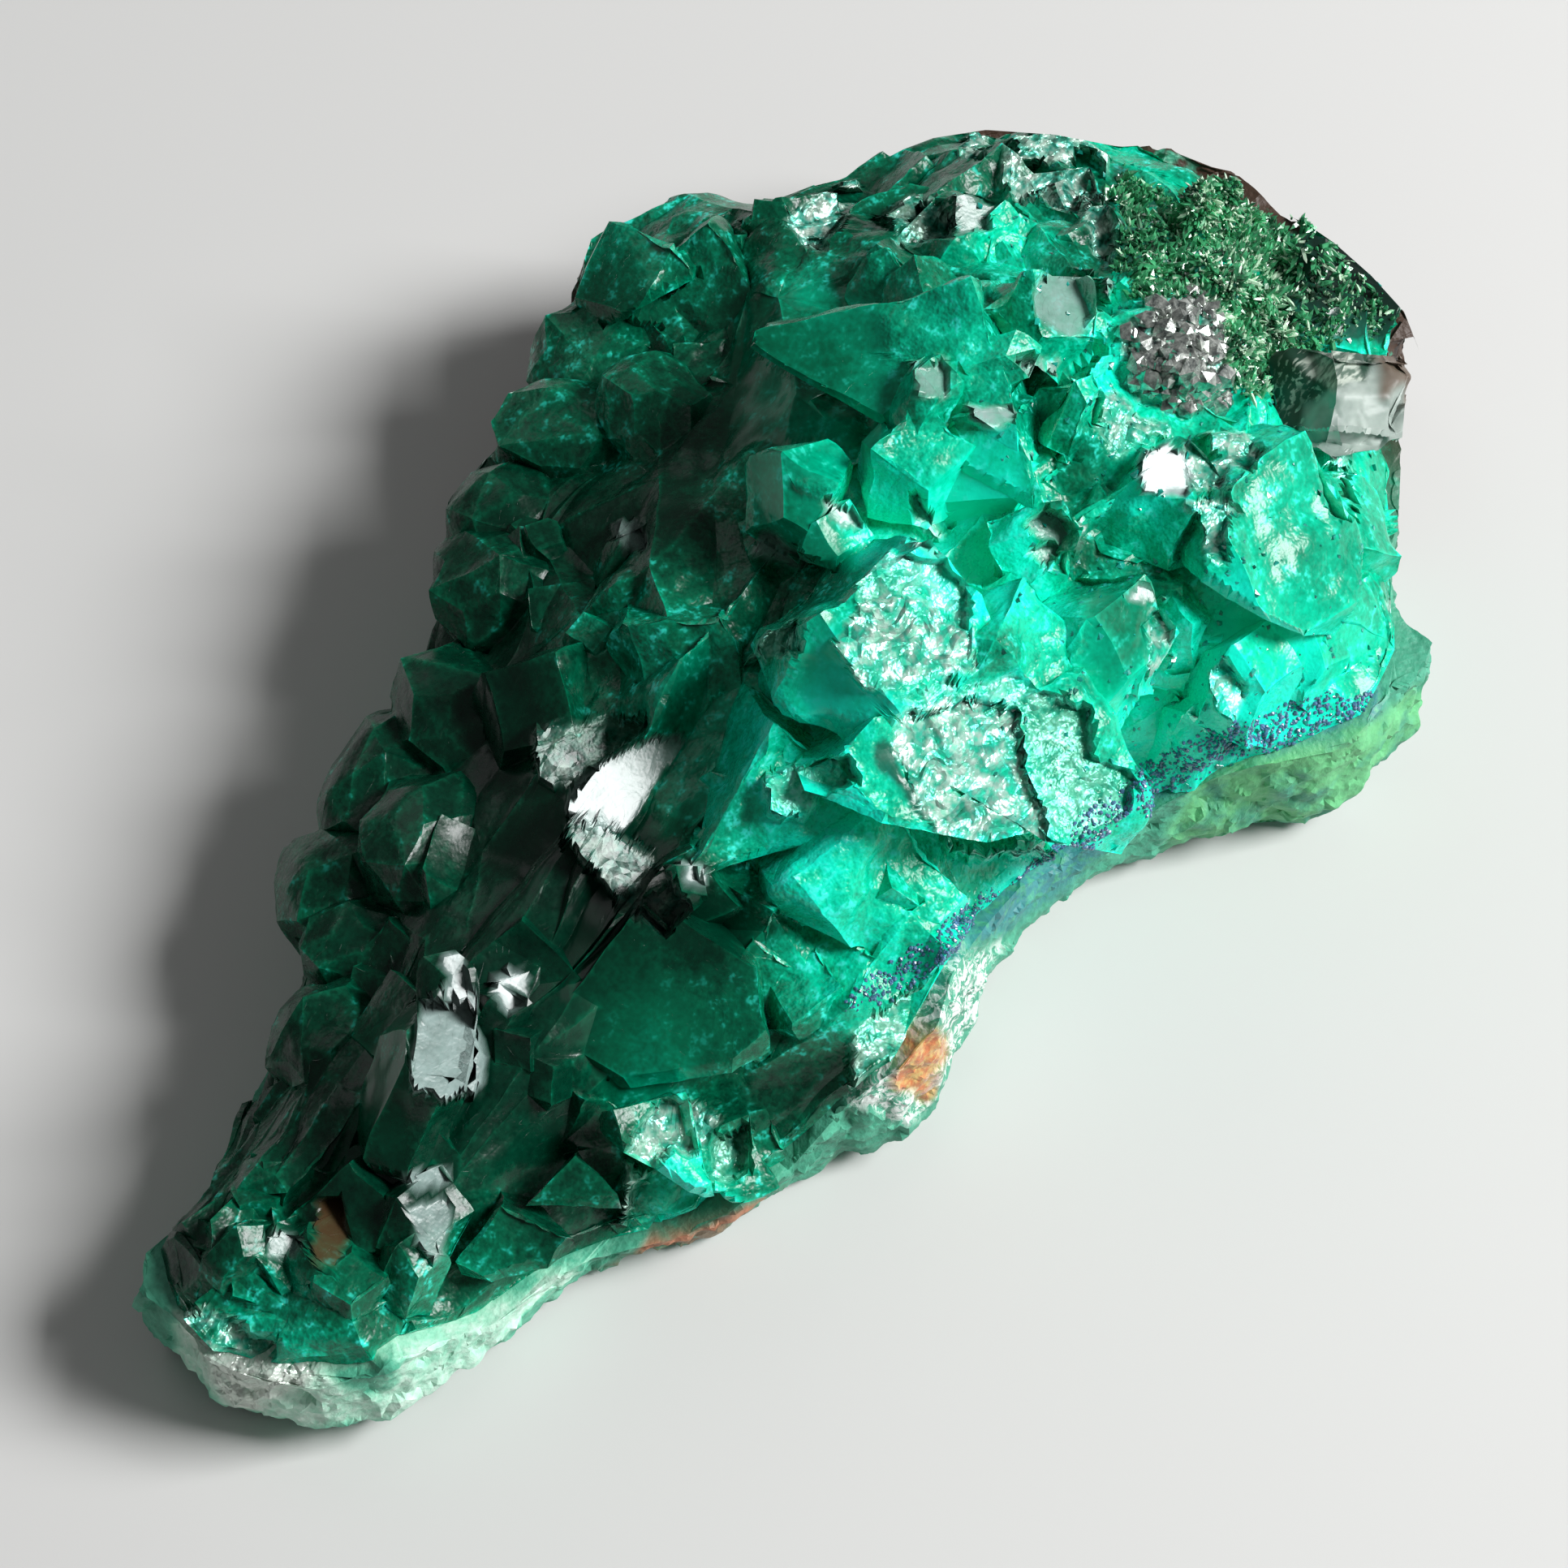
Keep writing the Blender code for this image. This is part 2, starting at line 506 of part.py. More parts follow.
def crystal_crust(paint):
    """The crust: the bed, every crystal and every knob in one body, trimmed along the seam."""
    chance = np.random.default_rng(SEED)
    group = bpy.data.collections.new("grown_together")
    for crystal in CRYSTALS:
        place_crystal(group, crystal, chance)
    small_crystals(group, chance)
    druse_crystals(group, chance)
    knobs(group, chance)
    made = add_object("dioptase_crystals", crystal_bed(chance), paint)
    boolean(made, "UNION", group)
    boolean(made, "DIFFERENCE", seam_cutter("below_seam", GAP, above=False))
    boolean(made, "DIFFERENCE", add_object("socket", pale_crystal_mesh(GAP), helper=True))
    keep_outer_skin(made)


def island_from(start):
    """Every vertex that hangs together with this one."""
    found, ahead = {start}, [start]
    while ahead:
        near = {edge.other_vert(vert) for vert in ahead for edge in vert.link_edges}
        ahead = [vert for vert in near if vert not in found]
        found.update(ahead)
    return found


def keep_outer_skin(made):
    """Apply the Booleans, then drop every inner skin of a hollow that the crystals closed in."""
    graph = bpy.context.evaluated_depsgraph_get()
    joined = bpy.data.meshes.new_from_object(made.evaluated_get(graph))
    made.modifiers.clear()
    made.data = joined
    bm = bmesh.new()
    bm.from_mesh(joined)
    islands, left = [], set(bm.verts)
    while left:
        islands.append(island_from(next(iter(left))))
        left -= islands[-1]
    outer = max(islands, key=len)
    bmesh.ops.delete(bm, geom=[vert for vert in bm.verts if vert not in outer], context="VERTS")
    bm.to_mesh(joined)
    bm.free()


def main():
    """Build the three pieces and carry them to the middle of their common box."""
    clear_scene()
    specimen = bpy.data.objects.new("specimen", None)
    bpy.context.scene.collection.objects.link(specimen)
    rock_plate(material("host_rock", (0.22, 0.42, 0.30), 0.7))
    crystal_crust(material("dioptase", (0.01, 0.30, 0.20), 0.15))
    pale = material("pale_mineral", (0.72, 0.76, 0.72), 0.3)
    add_object("pale_crystal", pale_crystal_mesh(), pale)
    for thing in bpy.context.scene.collection.objects:
        if thing is not specimen:
            thing.parent = specimen
    specimen.location = (-MIDDLE_OF_BOX[0] * MM, -MIDDLE_OF_BOX[1] * MM, 0.0)


main()
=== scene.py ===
"""The looks of a dioptase specimen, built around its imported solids.

Lengths are millimetres in the part's own frame until a mesh is handed to Blender, which takes
metres. The crust of crystals, the host rock and the pale crystal are finer surfaces made from
their solids; druse, seam grains, lumps and chips are small closed bodies set on them.
"""

import logging
import math
from dataclasses import dataclass
from enum import Enum

import bpy
import numpy as np
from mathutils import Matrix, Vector


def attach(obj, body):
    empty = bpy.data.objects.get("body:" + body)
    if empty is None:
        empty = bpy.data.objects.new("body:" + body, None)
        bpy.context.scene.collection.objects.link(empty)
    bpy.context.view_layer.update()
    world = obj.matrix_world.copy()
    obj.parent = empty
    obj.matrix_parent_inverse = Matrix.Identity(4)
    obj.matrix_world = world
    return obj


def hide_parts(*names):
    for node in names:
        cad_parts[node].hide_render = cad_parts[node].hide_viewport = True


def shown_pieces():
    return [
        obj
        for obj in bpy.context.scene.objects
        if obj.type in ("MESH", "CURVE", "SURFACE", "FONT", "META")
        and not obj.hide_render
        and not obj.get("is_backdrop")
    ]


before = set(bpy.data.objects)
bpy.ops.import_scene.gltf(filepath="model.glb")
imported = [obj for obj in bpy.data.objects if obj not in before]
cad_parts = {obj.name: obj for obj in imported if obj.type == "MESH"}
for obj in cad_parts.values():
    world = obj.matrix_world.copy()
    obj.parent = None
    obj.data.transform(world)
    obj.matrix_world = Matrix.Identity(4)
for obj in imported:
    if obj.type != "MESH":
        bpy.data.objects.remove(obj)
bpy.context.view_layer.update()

LOG = logging.getLogger("specimen")
MM = 0.001

# Plan directions of the picture: to its right, and up and away in it
PICTURE_RIGHT = np.array((0.7071, -0.7071, 0.0))
PICTURE_AWAY = np.array((0.7071, 0.7071, 0.0))
# The way to the key light, and the normal of a face that throws that light to the camera
KEY_WAY = np.array((0.5417, -0.5417, 0.6428))
GLINT = np.array((0.1071, -0.5038, 0.8572))


def smooth_step(low: float, high: float, values: np.ndarray) -> np.ndarray:
    """Nought below `low`, one above `high`, and an even S-shaped rise between them."""
    share = np.clip((values - low) / (high - low), 0.0, 1.0)
    return share * share * (3.0 - 2.0 * share)


def unit(vectors: np.ndarray) -> np.ndarray:
    """The vectors, each divided by its own length."""
    return vectors / np.maximum(np.linalg.norm(vectors, axis=-1, keepdims=True), 1e-12)


class Noise:
    """Random fields in space that come out the same on every run.

    Every whole-number cell of space is given numbers by mixing its three counts with a seed,
    and the fields are put together from the numbers of the cells around a point.
    """

    def __init__(self, seed: int) -> None:
        """Keep the seed that every number is mixed with."""
        self.seed = seed

    def numbers(self, cells: np.ndarray, channel: int = 0) -> np.ndarray:
        """One number from 0 to 1 for each cell.

        Args:
            cells: whole numbers, the last axis of three.
            channel: which of the cell's numbers is wanted.

        Returns:
            The numbers, one for each cell.
        """
        mixed = cells[..., 0] * 73856093 ^ cells[..., 1] * 19349663 ^ cells[..., 2] * 83492791
        mixed = (mixed ^ (self.seed * 7919 + channel * 104729)) & 0xFFFFFFFF
        mixed = ((mixed ^ (mixed >> 15)) * 2246822519) & 0xFFFFFFFF
        mixed = ((mixed ^ (mixed >> 13)) * 3266489917) & 0xFFFFFFFF
        return ((mixed ^ (mixed >> 16)) & 0xFFFFFF) / 0x1000000

    def soft(self, points: np.ndarray, size: float, channel: int = 0) -> np.ndarray:
        """A soft field from -1 to 1: the eight corners' numbers, eased into one another.

        Args:
            points: places, an array of N by 3.
            size: the distance between the lattice's corners.
            channel: which of the corners' numbers is used.

        Returns:
            N values.
        """
        scaled = points / size
        base = np.floor(scaled).astype(np.int64)
        part = scaled - base
        ease = part * part * (3.0 - 2.0 * part)
        total = np.zeros(len(points))
        for corner in np.ndindex(2, 2, 2):
            step = np.array(corner)
            share = np.prod(np.where(step == 1, ease, 1.0 - ease), axis=1)
            total += share * self.numbers(base + step, channel)
        return 2.0 * total - 1.0

    def layered(self, points: np.ndarray, size: float, layers: int = 3) -> np.ndarray:
        """Soft fields added up, each of half the size and half the strength of the last.

        Args:
            points: places, an array of N by 3.
            size: the distance between the first lattice's corners.
            layers: how many fields are added up.

        Returns:
            N values.
        """
        total = np.zeros(len(points))
        for layer in range(layers):
            total += self.soft(points, size / 2**layer, 10 + layer) / 2**layer
        return total

    def broken(self, points: np.ndarray, size: float, step: float, slope: float,
               crisp: float = 60.0) -> np.ndarray:
        """A field of flat pieces, as on a fracture: in each cell a level plus a slope of its own.

        Every cell has a centre at a random place. Near a centre c the field is a level plus the
        slope times the way from c; between centres the pieces are blended by weights of
        exp(-crisp * distance squared), so that each piece ends in a short steep edge.

        Args:
            points: places, an array of N by 3.
            size: the mean distance between centres.
            step: the most that a piece's level is off nought.
            slope: the most that a piece rises over its own length.
            crisp: how short the edges between pieces are.

        Returns:
            N values.
        """
        scaled = points / size
        base = np.floor(scaled).astype(np.int64)
        total, weights = np.zeros(len(points)), np.full(len(points), 1e-30)
        for shift in np.ndindex(3, 3, 3):
            cell = base + np.array(shift) - 1
            centre = cell + np.stack([self.numbers(cell, k) for k in (1, 2, 3)], axis=1)
            way = scaled - centre
            distance = np.sum(way * way, axis=1)
            weight = np.exp(-crisp * np.minimum(distance, 2.0) / 2.0)
            turn = np.stack([self.numbers(cell, k) for k in (4, 5, 6)], axis=1) * 2.0 - 1.0
            level = step * (self.numbers(cell, 7) * 2.0 - 1.0)
            total += weight * (level + slope * size * np.sum(turn * way, axis=1))
            weights += weight
        return total / weights


@dataclass(frozen=True)
class PictureView:
    """Where the picture was taken from; places in it are counted in its own pixels."""

    aim: tuple = (-1.49, -3.285, 5.0)
    distance: float = 102.0
    elevation: float = 60.0
    azimuth: float = -45.0
    lens: float = 100.0
    sensor: float = 36.0
    half_width: float = 966.0
    hidden_by: float = 1.2
    hidden_soft: float = 0.5
    facing_soft: float = 0.23
    cell: float = 12.0
    cells: int = 200

    def axes(self) -> tuple[np.ndarray, np.ndarray, np.ndarray]:
        """The picture's own directions.

        Returns:
            The ways to its right, up in it, and back to where it was taken.
        """
        turn, slope = math.radians(self.azimuth), math.radians(self.elevation)
        right = np.array((math.cos(turn), math.sin(turn), 0.0))
        back = np.array((math.sin(turn) * math.cos(slope), -math.cos(turn) * math.cos(slope),
                         math.sin(slope)))
        return right, np.cross(back, right), back

    def seen(self, points: np.ndarray) -> tuple[np.ndarray, np.ndarray]:
        """Where the picture shows points, and how far off they are.

        A point's place is the middle of the picture plus its way to the right, and less its way
        up, each divided by its distance and by the lens's half angle.

        Args:
            points: places, an array of N by 3.

        Returns:
            N places in the picture, and N distances along the view.
        """
        right, up, back = self.axes()
        way = points - (np.array(self.aim) + back * self.distance)
        depth = -way @ back
        scale = self.half_width / (self.sensor / 2.0 / self.lens)
        across = self.half_width + way @ right / depth * scale
        down = self.half_width - way @ up / depth * scale
        return np.stack([across, down], axis=1), depth

    def shown(self, points: np.ndarray, normals: np.ndarray, least: float = 0.02) -> np.ndarray:
        """One for points that the picture shows, nought for those that face away or are hidden.

        The nearest distance is kept for each small square of the picture; a point that lies
        well behind it is hidden.

        Args:
            points: places, an array of N by 3.
            normals: the surface's directions there.
            least: the smallest product of normal and view that isn't facing away.

        Returns:
            N shares.
        """
        seen, depth = self.seen(points)
        cells = np.clip((seen / self.cell).astype(int), 0, self.cells - 1)
        nearest = np.full((self.cells, self.cells), np.inf)
        np.minimum.at(nearest, (cells[:, 0], cells[:, 1]), depth)
        behind = depth - nearest[cells[:, 0], cells[:, 1]]
        facing = smooth_step(least, least + self.facing_soft, normals @ self.axes()[2])
        hidden = smooth_step(self.hidden_by, self.hidden_by + self.hidden_soft, behind)
        return facing * (1.0 - hidden)


VIEW = PictureView()

# How far round a face's outline the picture's pixels are looked at
OUTLINE_MARGIN = 40.0


class Look(Enum):
    """What a face of the specimen looks like.

    The pale colour of the mirror and pale faces is a painted sheen, and the silver of the foil
    faces is a painted reflection.
    """

    MIRROR = "a smooth face that throws the light back"
    PALE = "a smooth face with a pale sheen"
    FOIL = "a crinkled face, like foil"
    GREEN = "a smooth clear face"
    DARK = "a dark smooth strip"
    BROWN = "a brown face"


@dataclass(frozen=True)
class Face:
    """A face by its corners in the picture, and how strong its look is."""

    name: str
    look: Look
    corners: tuple
    strength: float = 1.0

    def depth_inside(self, seen: np.ndarray) -> np.ndarray:
        """How far inside its outline places are; negative outside.

        The distance is that to the nearest side; a place is inside where a line drawn from it
        to the right crosses the outline an odd number of times.

        Args:
            seen: places in the picture.

        Returns:
            One distance for each, in the picture's pixels.
        """
        corners = np.array(self.corners, float)
        after = np.roll(corners, -1, axis=0)
        edge = after - corners
        way = seen[:, None, :] - corners[None]
        share = np.clip(np.sum(way * edge, axis=2) / np.sum(edge * edge, axis=1), 0.0, 1.0)
        distance = np.linalg.norm(way - share[..., None] * edge, axis=2).min(axis=1)
        straddles = (corners[:, 1] <= seen[:, 1:]) != (after[:, 1] <= seen[:, 1:])
        rise = np.where(np.abs(edge[:, 1]) < 1e-6, 1e-6, edge[:, 1])
        crossing = corners[:, 0] + (seen[:, 1:] - corners[:, 1]) / rise * edge[:, 0]
        inside = (straddles & (seen[:, :1] < crossing)).sum(axis=1) % 2 == 1
        return np.where(inside, distance, -distance)

    def share(self, seen: np.ndarray, ragged: np.ndarray | float = 0.0,
              soft: float = 5.0) -> np.ndarray:
        """One inside the outline, nought outside, and a soft ragged edge between.

        Args:
            seen: places in the picture.
            ragged: how far the outline is moved at each place.
            soft: half the width of its edge.

        Returns:
            One share for each place, times the face's strength.
        """
        low = np.min(self.corners, axis=0) - OUTLINE_MARGIN
        high = np.max(self.corners, axis=0) + OUTLINE_MARGIN
        close = np.all((seen > low) & (seen < high), axis=1)
        total = np.zeros(len(seen))
        edge = np.broadcast_to(ragged, len(seen))[close]
        total[close] = smooth_step(-soft, soft, self.depth_inside(seen[close]) + edge)
        return total * self.strength


# The faces of the crust, by their corners in the picture
FACES = (
    Face("mirror", Look.MIRROR, (
        (834, 899), (842, 915), (769, 1026), (742, 1023), (693, 999), (700, 987), (739, 938))),
    Face("mirror_step", Look.MIRROR, (
        (838, 1062), (870, 1066), (876, 1085), (868, 1098), (845, 1090))),
    Face("oval", Look.MIRROR, (
        (610, 1203), (625, 1195), (645, 1203), (645, 1235), (625, 1248), (605, 1225))),
    Face("pale_tip", Look.MIRROR, (
        (556, 1166), (568, 1178), (574, 1205), (594, 1248), (575, 1245), (540, 1230), (552, 1210),
        (545, 1188))),
    Face("white_face", Look.MIRROR, (
        (1398, 566), (1435, 548), (1460, 557), (1472, 584), (1462, 609), (1404, 612)), 1.6),
    Face("top_face", Look.MIRROR, (
        (1170, 246), (1193, 241), (1221, 250), (1219, 283), (1178, 291)), 0.8),
    Face("sliver", Look.MIRROR, (
        (1264, 643), (1289, 628), (1340, 653), (1323, 664), (1278, 664)), 0.8),
    Face("sliver_low", Look.MIRROR, ((1272, 681), (1323, 664), (1332, 670), (1288, 692)), 0.7),
    Face("apex_chip", Look.MIRROR, ((1118, 670), (1135, 663), (1164, 682), (1155, 690))),
    Face("tooth_tip", Look.MIRROR, ((1402, 714), (1435, 741), (1389, 738))),
    Face("blade_face", Look.MIRROR, ((1008, 610), (1050, 628), (1068, 650), (1035, 652), (1018, 630))),
    Face("wedge_face", Look.MIRROR, ((942, 654), (960, 668), (1002, 695), (985, 699), (925, 687)), 0.8),
    Face("cap_face", Look.MIRROR, (
        (1130, 610), (1150, 640), (1166, 660), (1155, 665), (1130, 650), (1122, 620)), 0.6),
    Face("left_face", Look.PALE, (
        (524, 1235), (553, 1237), (582, 1251), (595, 1268), (605, 1303), (595, 1342), (550, 1349),
        (510, 1342), (507, 1297), (514, 1264))),
    Face("round_face", Look.PALE, (
        (1278, 343), (1301, 332), (1346, 332), (1369, 355), (1346, 394), (1329, 423), (1301, 406),
        (1275, 389)), 0.8),
    Face("flat_pale", Look.PALE, ((1190, 500), (1245, 498), (1252, 512), (1230, 528), (1195, 520))),
    Face("curved_pale", Look.PALE, (
        (1248, 442), (1270, 435), (1300, 450), (1312, 440), (1302, 462), (1270, 464))),
    Face("chip_pale", Look.PALE, (
        (1122, 448), (1150, 450), (1160, 440), (1170, 460), (1165, 490), (1135, 488)), 0.7),
    Face("ear", Look.PALE, (
        (762, 645), (785, 640), (800, 652), (800, 680), (775, 678), (758, 663)), 0.6),
    Face("broken_a", Look.PALE, ((500, 1448), (535, 1435), (552, 1445), (550, 1462), (505, 1470)), 0.9),
    Face("broken_b", Look.PALE, (
        (505, 1490), (550, 1475), (560, 1500), (552, 1520), (540, 1560), (512, 1530)), 0.8),
    Face("tail_chip", Look.MIRROR, (
        (328, 1520), (345, 1515), (368, 1525), (365, 1545), (335, 1550)), 0.8),
    Face("brown_face", Look.BROWN, (
        (395, 1480), (420, 1475), (425, 1520), (415, 1560), (385, 1560), (390, 1510)), 0.7),
    Face("slope", Look.DARK, (
        (1545, 215), (1700, 320), (1740, 385), (1700, 420), (1610, 400), (1580, 300)), 1.1),
    Face("crack_strip", Look.DARK, (
        (1072, 912), (1090, 908), (1105, 930), (1150, 1010), (1140, 1012), (1075, 935))),
    Face("pyramid_foil", Look.FOIL, (
        (1029, 796), (1065, 740), (1101, 728), (1134, 735), (1190, 780), (1203, 822), (1192, 830),
        (1134, 837), (1098, 850), (1068, 844), (1052, 824)), 0.85),
    Face("pyramid_top", Look.FOIL, (
        (1050, 715), (1095, 680), (1160, 690), (1188, 725), (1190, 780), (1134, 735), (1065, 740)), 0.5),
    Face("foil_ground", Look.FOIL, (
        (1106, 880), (1166, 858), (1250, 852), (1340, 874), (1345, 930), (1400, 960), (1385, 1000),
        (1300, 1050), (1238, 1050), (1215, 1063), (1176, 1047), (1150, 1021), (1127, 975),
        (1101, 917)), 0.32),
    Face("big_foil", Look.FOIL, (
        (1106, 880), (1166, 858), (1199, 861), (1258, 874), (1261, 913), (1264, 946), (1294, 1018),
        (1290, 1057), (1238, 1050), (1215, 1063), (1176, 1047), (1150, 1021), (1127, 975),
        (1101, 917)), 0.95),
    Face("over_foil", Look.FOIL, (
        (1110, 860), (1150, 835), (1250, 840), (1310, 860), (1290, 880), (1200, 860), (1130, 885)), 0.45),
    Face("white_beside", Look.FOIL, (
        (1462, 542), (1493, 534), (1533, 537), (1556, 554), (1545, 578), (1517, 575), (1505, 603),
        (1469, 600))),
    Face("white_strip", Look.FOIL, (
        (1462, 621), (1514, 613), (1527, 630), (1505, 661), (1511, 691), (1499, 697), (1487, 676),
        (1475, 645)), 0.9),
    Face("tooth_foil", Look.FOIL, (
        (1417, 752), (1438, 755), (1447, 783), (1444, 816), (1417, 838), (1414, 804))),
    Face("flank_foil", Look.FOIL, ((1490, 830), (1510, 815), (1535, 850), (1520, 890), (1495, 880)), 0.7),
    Face("top_foil_a", Look.FOIL, ((1190, 165), (1218, 165), (1215, 195), (1183, 192))),
    Face("top_foil_b", Look.FOIL, (
        (1240, 170), (1290, 165), (1330, 175), (1365, 195), (1350, 250), (1310, 258), (1275, 240),
        (1260, 250), (1245, 240), (1235, 220))),
    Face("top_foil_c", Look.FOIL, ((1335, 240), (1370, 240), (1375, 330), (1355, 315), (1340, 280)), 0.9),
    Face("top_foil_d", Look.FOIL, (
        (970, 270), (1010, 240), (1055, 225), (1060, 240), (1030, 270), (1020, 300), (985, 295)), 0.9),
    Face("top_foil_e", Look.FOIL, ((1085, 270), (1120, 250), (1170, 250), (1175, 290), (1110, 300)), 0.6),
    Face("low_foil", Look.FOIL, (
        (814, 1354), (850, 1360), (892, 1374), (870, 1414), (847, 1427), (830, 1414), (801, 1444),
        (782, 1465), (770, 1515), (763, 1475), (775, 1430), (792, 1390))),
    Face("low_spark", Look.FOIL, ((880, 1400), (925, 1385), (925, 1440), (895, 1460), (870, 1450)), 0.4),
    Face("right_edge", Look.FOIL, ((1705, 740), (1735, 720), (1735, 755), (1715, 775)), 0.7),
    Face("block_foil", Look.FOIL, ((1620, 530), (1660, 530), (1668, 640), (1640, 640)), 0.35),
    Face("knob_foil", Look.FOIL, (
        (1355, 490), (1380, 480), (1400, 520), (1440, 525), (1440, 540), (1400, 545), (1370, 570),
        (1360, 540)), 0.8),
    Face("striped", Look.FOIL, ((945, 775), (985, 765), (992, 800), (925, 818)), 0.4),
    Face("above_mirror", Look.FOIL, (
        (660, 900), (740, 880), (800, 890), (760, 920), (700, 975), (665, 960)), 0.14),
    Face("hump_spots", Look.FOIL, (
        (940, 960), (1000, 930), (1050, 935), (1060, 960), (1010, 980), (990, 1010), (950, 1000)), 0.35),
    Face("speck_edge", Look.FOIL, (
        (1045, 1270), (1150, 1205), (1220, 1170), (1200, 1240), (1120, 1300), (1050, 1350)), 0.6),
    Face("tail_edge", Look.FOIL, (
        (222, 1620), (262, 1612), (300, 1640), (350, 1655), (330, 1700), (262, 1700)), 0.8),
    Face("dark_spark", Look.FOIL, (
        (700, 1010), (745, 1010), (800, 1050), (850, 1120), (820, 1150), (780, 1130), (700, 1040)), 0.16),
    Face("smooth_block", Look.GREEN, (
        (909, 378), (1000, 345), (1080, 360), (1100, 470), (1090, 560), (1020, 595), (909, 585),
        (890, 526))),
    Face("pyramid_left", Look.GREEN, (
        (1010, 740), (1040, 765), (1055, 850), (1100, 850), (1100, 880), (1000, 885), (970, 850))),
    Face("glow_block", Look.GREEN, (
        (1590, 520), (1640, 505), (1710, 590), (1735, 650), (1700, 850), (1560, 850), (1495, 790),
        (1530, 640)), 0.6),
    Face("tooth_left", Look.GREEN, (
        (1340, 730), (1400, 722), (1420, 760), (1412, 880), (1370, 870), (1330, 860))),
    Face("gem", Look.GREEN, (
        (726, 1110), (687, 1199), (683, 1248), (700, 1287), (732, 1329), (771, 1365), (804, 1362),
        (870, 1330), (885, 1270), (853, 1241))),
    Face("gem_oval", Look.GREEN, (
        (850, 1080), (900, 1110), (945, 1150), (930, 1180), (900, 1175), (860, 1130))),
    Face("blade", Look.GREEN, (
        (930, 580), (1010, 610), (1030, 650), (1060, 690), (1000, 700), (925, 620))),
    Face("peak", Look.GREEN, (
        (1160, 560), (1240, 520), (1265, 560), (1270, 620), (1150, 650), (1130, 620)), 0.8),
    Face("left_side", Look.GREEN, (
        (470, 1250), (510, 1240), (505, 1350), (500, 1450), (455, 1400), (450, 1300))),
)

# Fields in which grains and knobs stand, by their corners in the picture
DRUSE_FIELD = Face("druse_field", Look.FOIL, (
    (1375, 205), (1382, 330), (1400, 362), (1490, 372), (1510, 470), (1590, 495), (1600, 440),
    (1700, 400), (1725, 385), (1640, 290), (1505, 205), (1440, 245)))
STREAK_FIELD = Face("streak_field", Look.FOIL, (
    (1450, 230), (1520, 215), (1560, 300), (1590, 400), (1592, 490), (1515, 470), (1495, 380),
    (1480, 300)))
KNOB_FIELD = Face("knob_field", Look.FOIL, (
    (1385, 395), (1420, 375), (1480, 362), (1502, 400), (1512, 495), (1460, 505), (1405, 490),
    (1392, 440)))
SEAM_FIELD = Face("seam_field", Look.FOIL, (
    (1030, 1264), (1150, 1197), (1290, 1110), (1430, 984), (1510, 935), (1700, 885), (1705, 848),
    (1490, 893), (1410, 942), (1270, 1068), (1140, 1160), (1038, 1228)))
